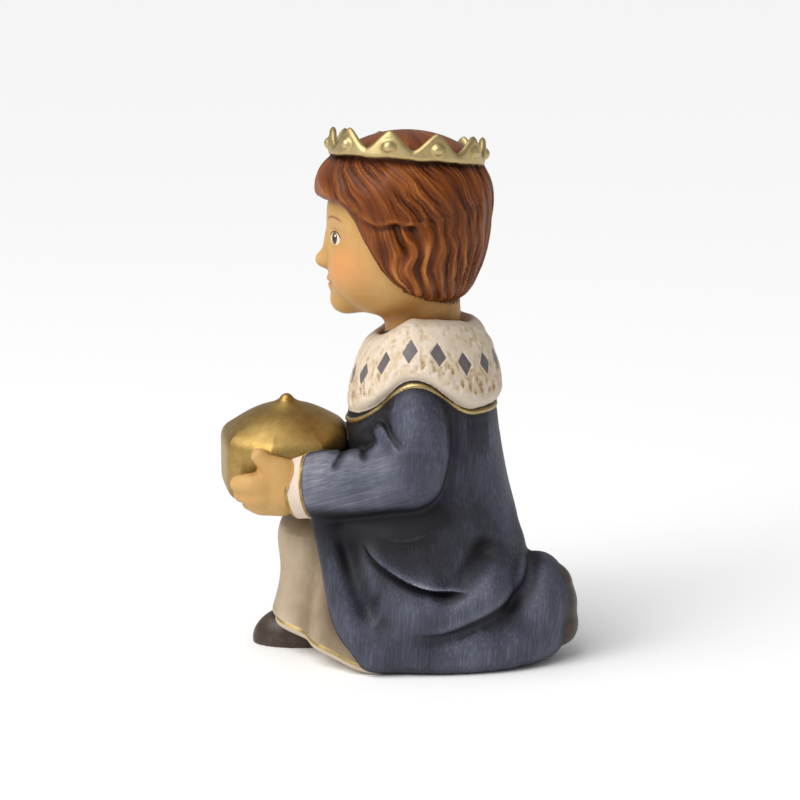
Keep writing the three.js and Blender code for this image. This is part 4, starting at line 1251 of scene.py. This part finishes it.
def face_paint(skin):
    """Plain painted eyes, brows and lips, on the front of the face only."""
    front = between(6.5, 8, forward)
    white, iris, pupil, glint = [ellipse(side_x, pz, middle, radii) for middle, radii in (
        ((5.75, 83.1), (2, 1.25)), ((5.65, 83.15), (1.15, 1.2)), ((5.65, 83.15), (0.55, 0.6)),
        ((5.95, 83.65), (0.24, 0.24)))]
    upper = between(83.1, 83.7, pz)
    inside = below(0.96, 1.02, white)
    from_arch = less(side_x, 5.9)
    brow = less(pz, less(87.3, times(from_arch, from_arch, 0.085)))
    brow = times(near_line(brow, 0, 0.24, 0.16), near_line(side_x, 5.9, 2.6, 0.6))
    mouth = ellipse(px, pz, (0, 74.1), (2.5, 1.15))
    lips = times(below(0.75, 1.1, mouth), between(10, 11.5, forward))
    seam = near_line(less(pz, times(px, px, 0.03)), 74.05, 0.09, 0.08)
    layers = [
        (inside, (218, 200, 170)),
        (times(below(0.92, 1.02, iris), inside), (82, 50, 32)),
        (times(below(0.9, 1.05, pupil), inside), (26, 18, 14)),
        (below(0.85, 1.1, glint), (250, 246, 238)),
        (times(near_line(white, 1.06, 0.1, 0.06), upper), (70, 42, 30)),
        (times(near_line(white, 1.05, 0.05, 0.05), less(1, upper), 0.45), (150, 96, 64)),
        (times(brow, 0.75), (118, 76, 48)),
        (times(lips, 0.75), (206, 112, 84)),
        (times(seam, lips, 0.6), (140, 66, 48)),
    ]
    for share, rgb in layers:
        skin = mix(times(share, front), skin, rgb)
    return skin


def hair_paint():
    """Reddish brown, each lock streaked along its strands, lighter on raised locks as painted highlight and
    darker in the partings as painted shade.
    """
    drift = times(px, 0.02)
    thread = grain(vector(times(at["strand"], STRANDS_TO_A_LOCK), times(pz, 0.16), drift), 1, 4, 0.62)
    broad = grain(vector(times(at["strand"], 1.1), times(pz, 0.1), drift), 1, 2)
    tone = toned("hair", 0.5, swing(thread, 0.6), swing(broad, 0.7))
    return shades(tone, RAMPS["hair"]), mix_number(thread, 0.48, 0.36), times(thread, 0.06)


def gold_paint():
    """A satin gold: pale on the crown and edges, a deeper bronze on the casket, with a fine sparkle and painted
    shade in its hollows.
    """
    fleck = grain(position, 7, 2, 0.6)
    tone = toned("gold", 0.55, swing(mottle, 0.35), swing(fleck, 0.75))
    pale, deep = [shades(tone, RAMPS[name]) for name in ("pale_gold", "deep_gold")]
    paint = mix(between(-0.1, 0.1, at["casket"]), pale, deep)
    return paint, mix_number(fleck, 0.36, 0.5), times(fleck, 0.025)


PAINTS = dict(tunic=tunic_paint, shoes=shoe_paint, cuff=lining_paint, collar=fur_paint, skin=skin_paint,
              hair=hair_paint, gold=gold_paint)


def gold_lines():
    """The painted gold lines: along the tunic's hem, and at both edges of the sleeve linings."""
    hem = near_line(add(at["hem"], swing(blotches, 0.4)), 1.35, 0.3)
    wrist = calc("MAXIMUM", near_line(at["wrist"], 0.3, 0.28), near_line(at["wrist"], 3.4, 0.4))
    return calc("MAXIMUM", times(hem, between(-0.05, 0.05, at["tunic"])),
                times(wrist, between(-0.3, -0.2, at["cuff"])))


def painted_tips():
    """Hair tips painted on the skin below the carved ones, on the sides and back."""
    tips = add(times(grain(vector(times(at["strand"], STRANDS_TO_A_LOCK), 0, 0), 1, 1), 2.6), -1)
    return times(between(-0.08, 0.08, less(tips, at["hairline"])), between(-2, 0, py))


def painted_bisque():
    wobble = swing(mottle, 0.2)
    masks = {name: between(-0.06, 0.06, add(at[name], wobble)) for name in PAINTED}
    masks["hair"] = calc("MAXIMUM", masks["hair"], times(painted_tips(), masks["skin"]))
    masks["gold"] = calc("MAXIMUM", masks["gold"], gold_lines())
    shell, rough, relief = coat_paint()
    for name in PAINTED:
        paint, own_rough, own_relief = PAINTS[name]()
        shell = mix(masks[name], shell, paint)
        rough = mix_number(masks[name], rough, own_rough)
        if own_relief is not None:
            relief = mix_number(masks[name], relief, own_relief)
    relief = add(relief, times(speckle, 0.012))
    raised = node("ShaderNodeBump", {"Strength": 0.9, "Distance": 0.001, "Height": relief}).outputs[0]
    shine = mix_number(masks["hair"], 0.28, 0.2)
    surface = node("ShaderNodeBsdfPrincipled", {"Base Color": shell, "Roughness": rough, "Normal": raised,
                                                "Metallic": masks["gold"], "Specular IOR Level": shine})
    node("ShaderNodeOutputMaterial", {"Surface": surface.outputs[0]})


# The figure
carving = carve()
finish_mesh(carving)
painted_bisque()
carving.materials.append(material)
figure = bpy.data.objects.new("king_figurine", carving)
bpy.context.scene.collection.objects.link(figure)
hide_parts("figurine")
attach(figure, "root")

# The floor, light and camera; the camera's height is its angle over the level in degrees
AIM = Vector((0, 0, 0.0505))
CAMERA_DISTANCE = 0.5
CAMERA_HEIGHT = 11
LENS = 114.75
SENSOR_WIDTH = 36
FLOOR_HALF = 4
FLOOR_COLOUR = (0.95, 0.95, 0.95, 1)
SKY_STRENGTH = 0.45

# name, kind, place, power, and a sun's angle in degrees or a lamp's width
LIGHTS = [("key", "SUN", (0.42, -0.55, 1.05), 2.1, 55), ("glow", "AREA", (0.35, -0.4, 0.35), 1.2, 0.3)]


def plain_floor():
    mesh = bpy.data.meshes.new("floor")
    corners = [(x * FLOOR_HALF, y * FLOOR_HALF, 0) for x, y in ((-1, -1), (1, -1), (1, 1), (-1, 1))]
    mesh.from_pydata(corners, [], [(0, 1, 2, 3)])
    floor = bpy.data.objects.new("floor", mesh)
    plain = bpy.data.materials.new("plain_floor")
    plain.use_nodes = True
    shader = plain.node_tree.nodes["Principled BSDF"]
    shader.inputs["Base Color"].default_value = FLOOR_COLOUR
    shader.inputs["Roughness"].default_value = 0.8
    mesh.materials.append(plain)
    bpy.context.scene.collection.objects.link(floor)


def light_up(name, kind, place, power, size):
    """A soft light that shines from a place towards the figure."""
    data = bpy.data.lights.new(name, kind)
    data.energy = power
    if kind == "SUN":
        data.angle = math.radians(size)
    else:
        data.shape = "DISK"
        data.size = size
    light = bpy.data.objects.new(name, data)
    light.location = place
    light.rotation_euler = (Vector(place) - AIM).to_track_quat("Z", "Y").to_euler()
    bpy.context.scene.collection.objects.link(light)


def studio():
    world = bpy.data.worlds.new("studio")
    world.use_nodes = True
    sky = world.node_tree.nodes["Background"]
    sky.inputs["Color"].default_value = (1, 1, 1, 1)
    sky.inputs["Strength"].default_value = SKY_STRENGTH
    bpy.context.scene.world = world
    for light in LIGHTS:
        light_up(*light)


def photo_camera():
    data = bpy.data.cameras.new("camera")
    data.lens = LENS
    data.sensor_width = SENSOR_WIDTH
    data.clip_start = 0.01
    camera = bpy.data.objects.new("camera", data)
    height = math.radians(CAMERA_HEIGHT)
    towards = Vector((math.cos(height), 0, math.sin(height)))
    camera.location = AIM + towards * CAMERA_DISTANCE
    camera.rotation_euler = towards.to_track_quat("Z", "Y").to_euler()
    bpy.context.scene.collection.objects.link(camera)
    bpy.context.scene.camera = camera


plain_floor()
studio()
photo_camera()
bpy.context.scene.view_settings.view_transform = "Standard"
bpy.context.view_layer.update()
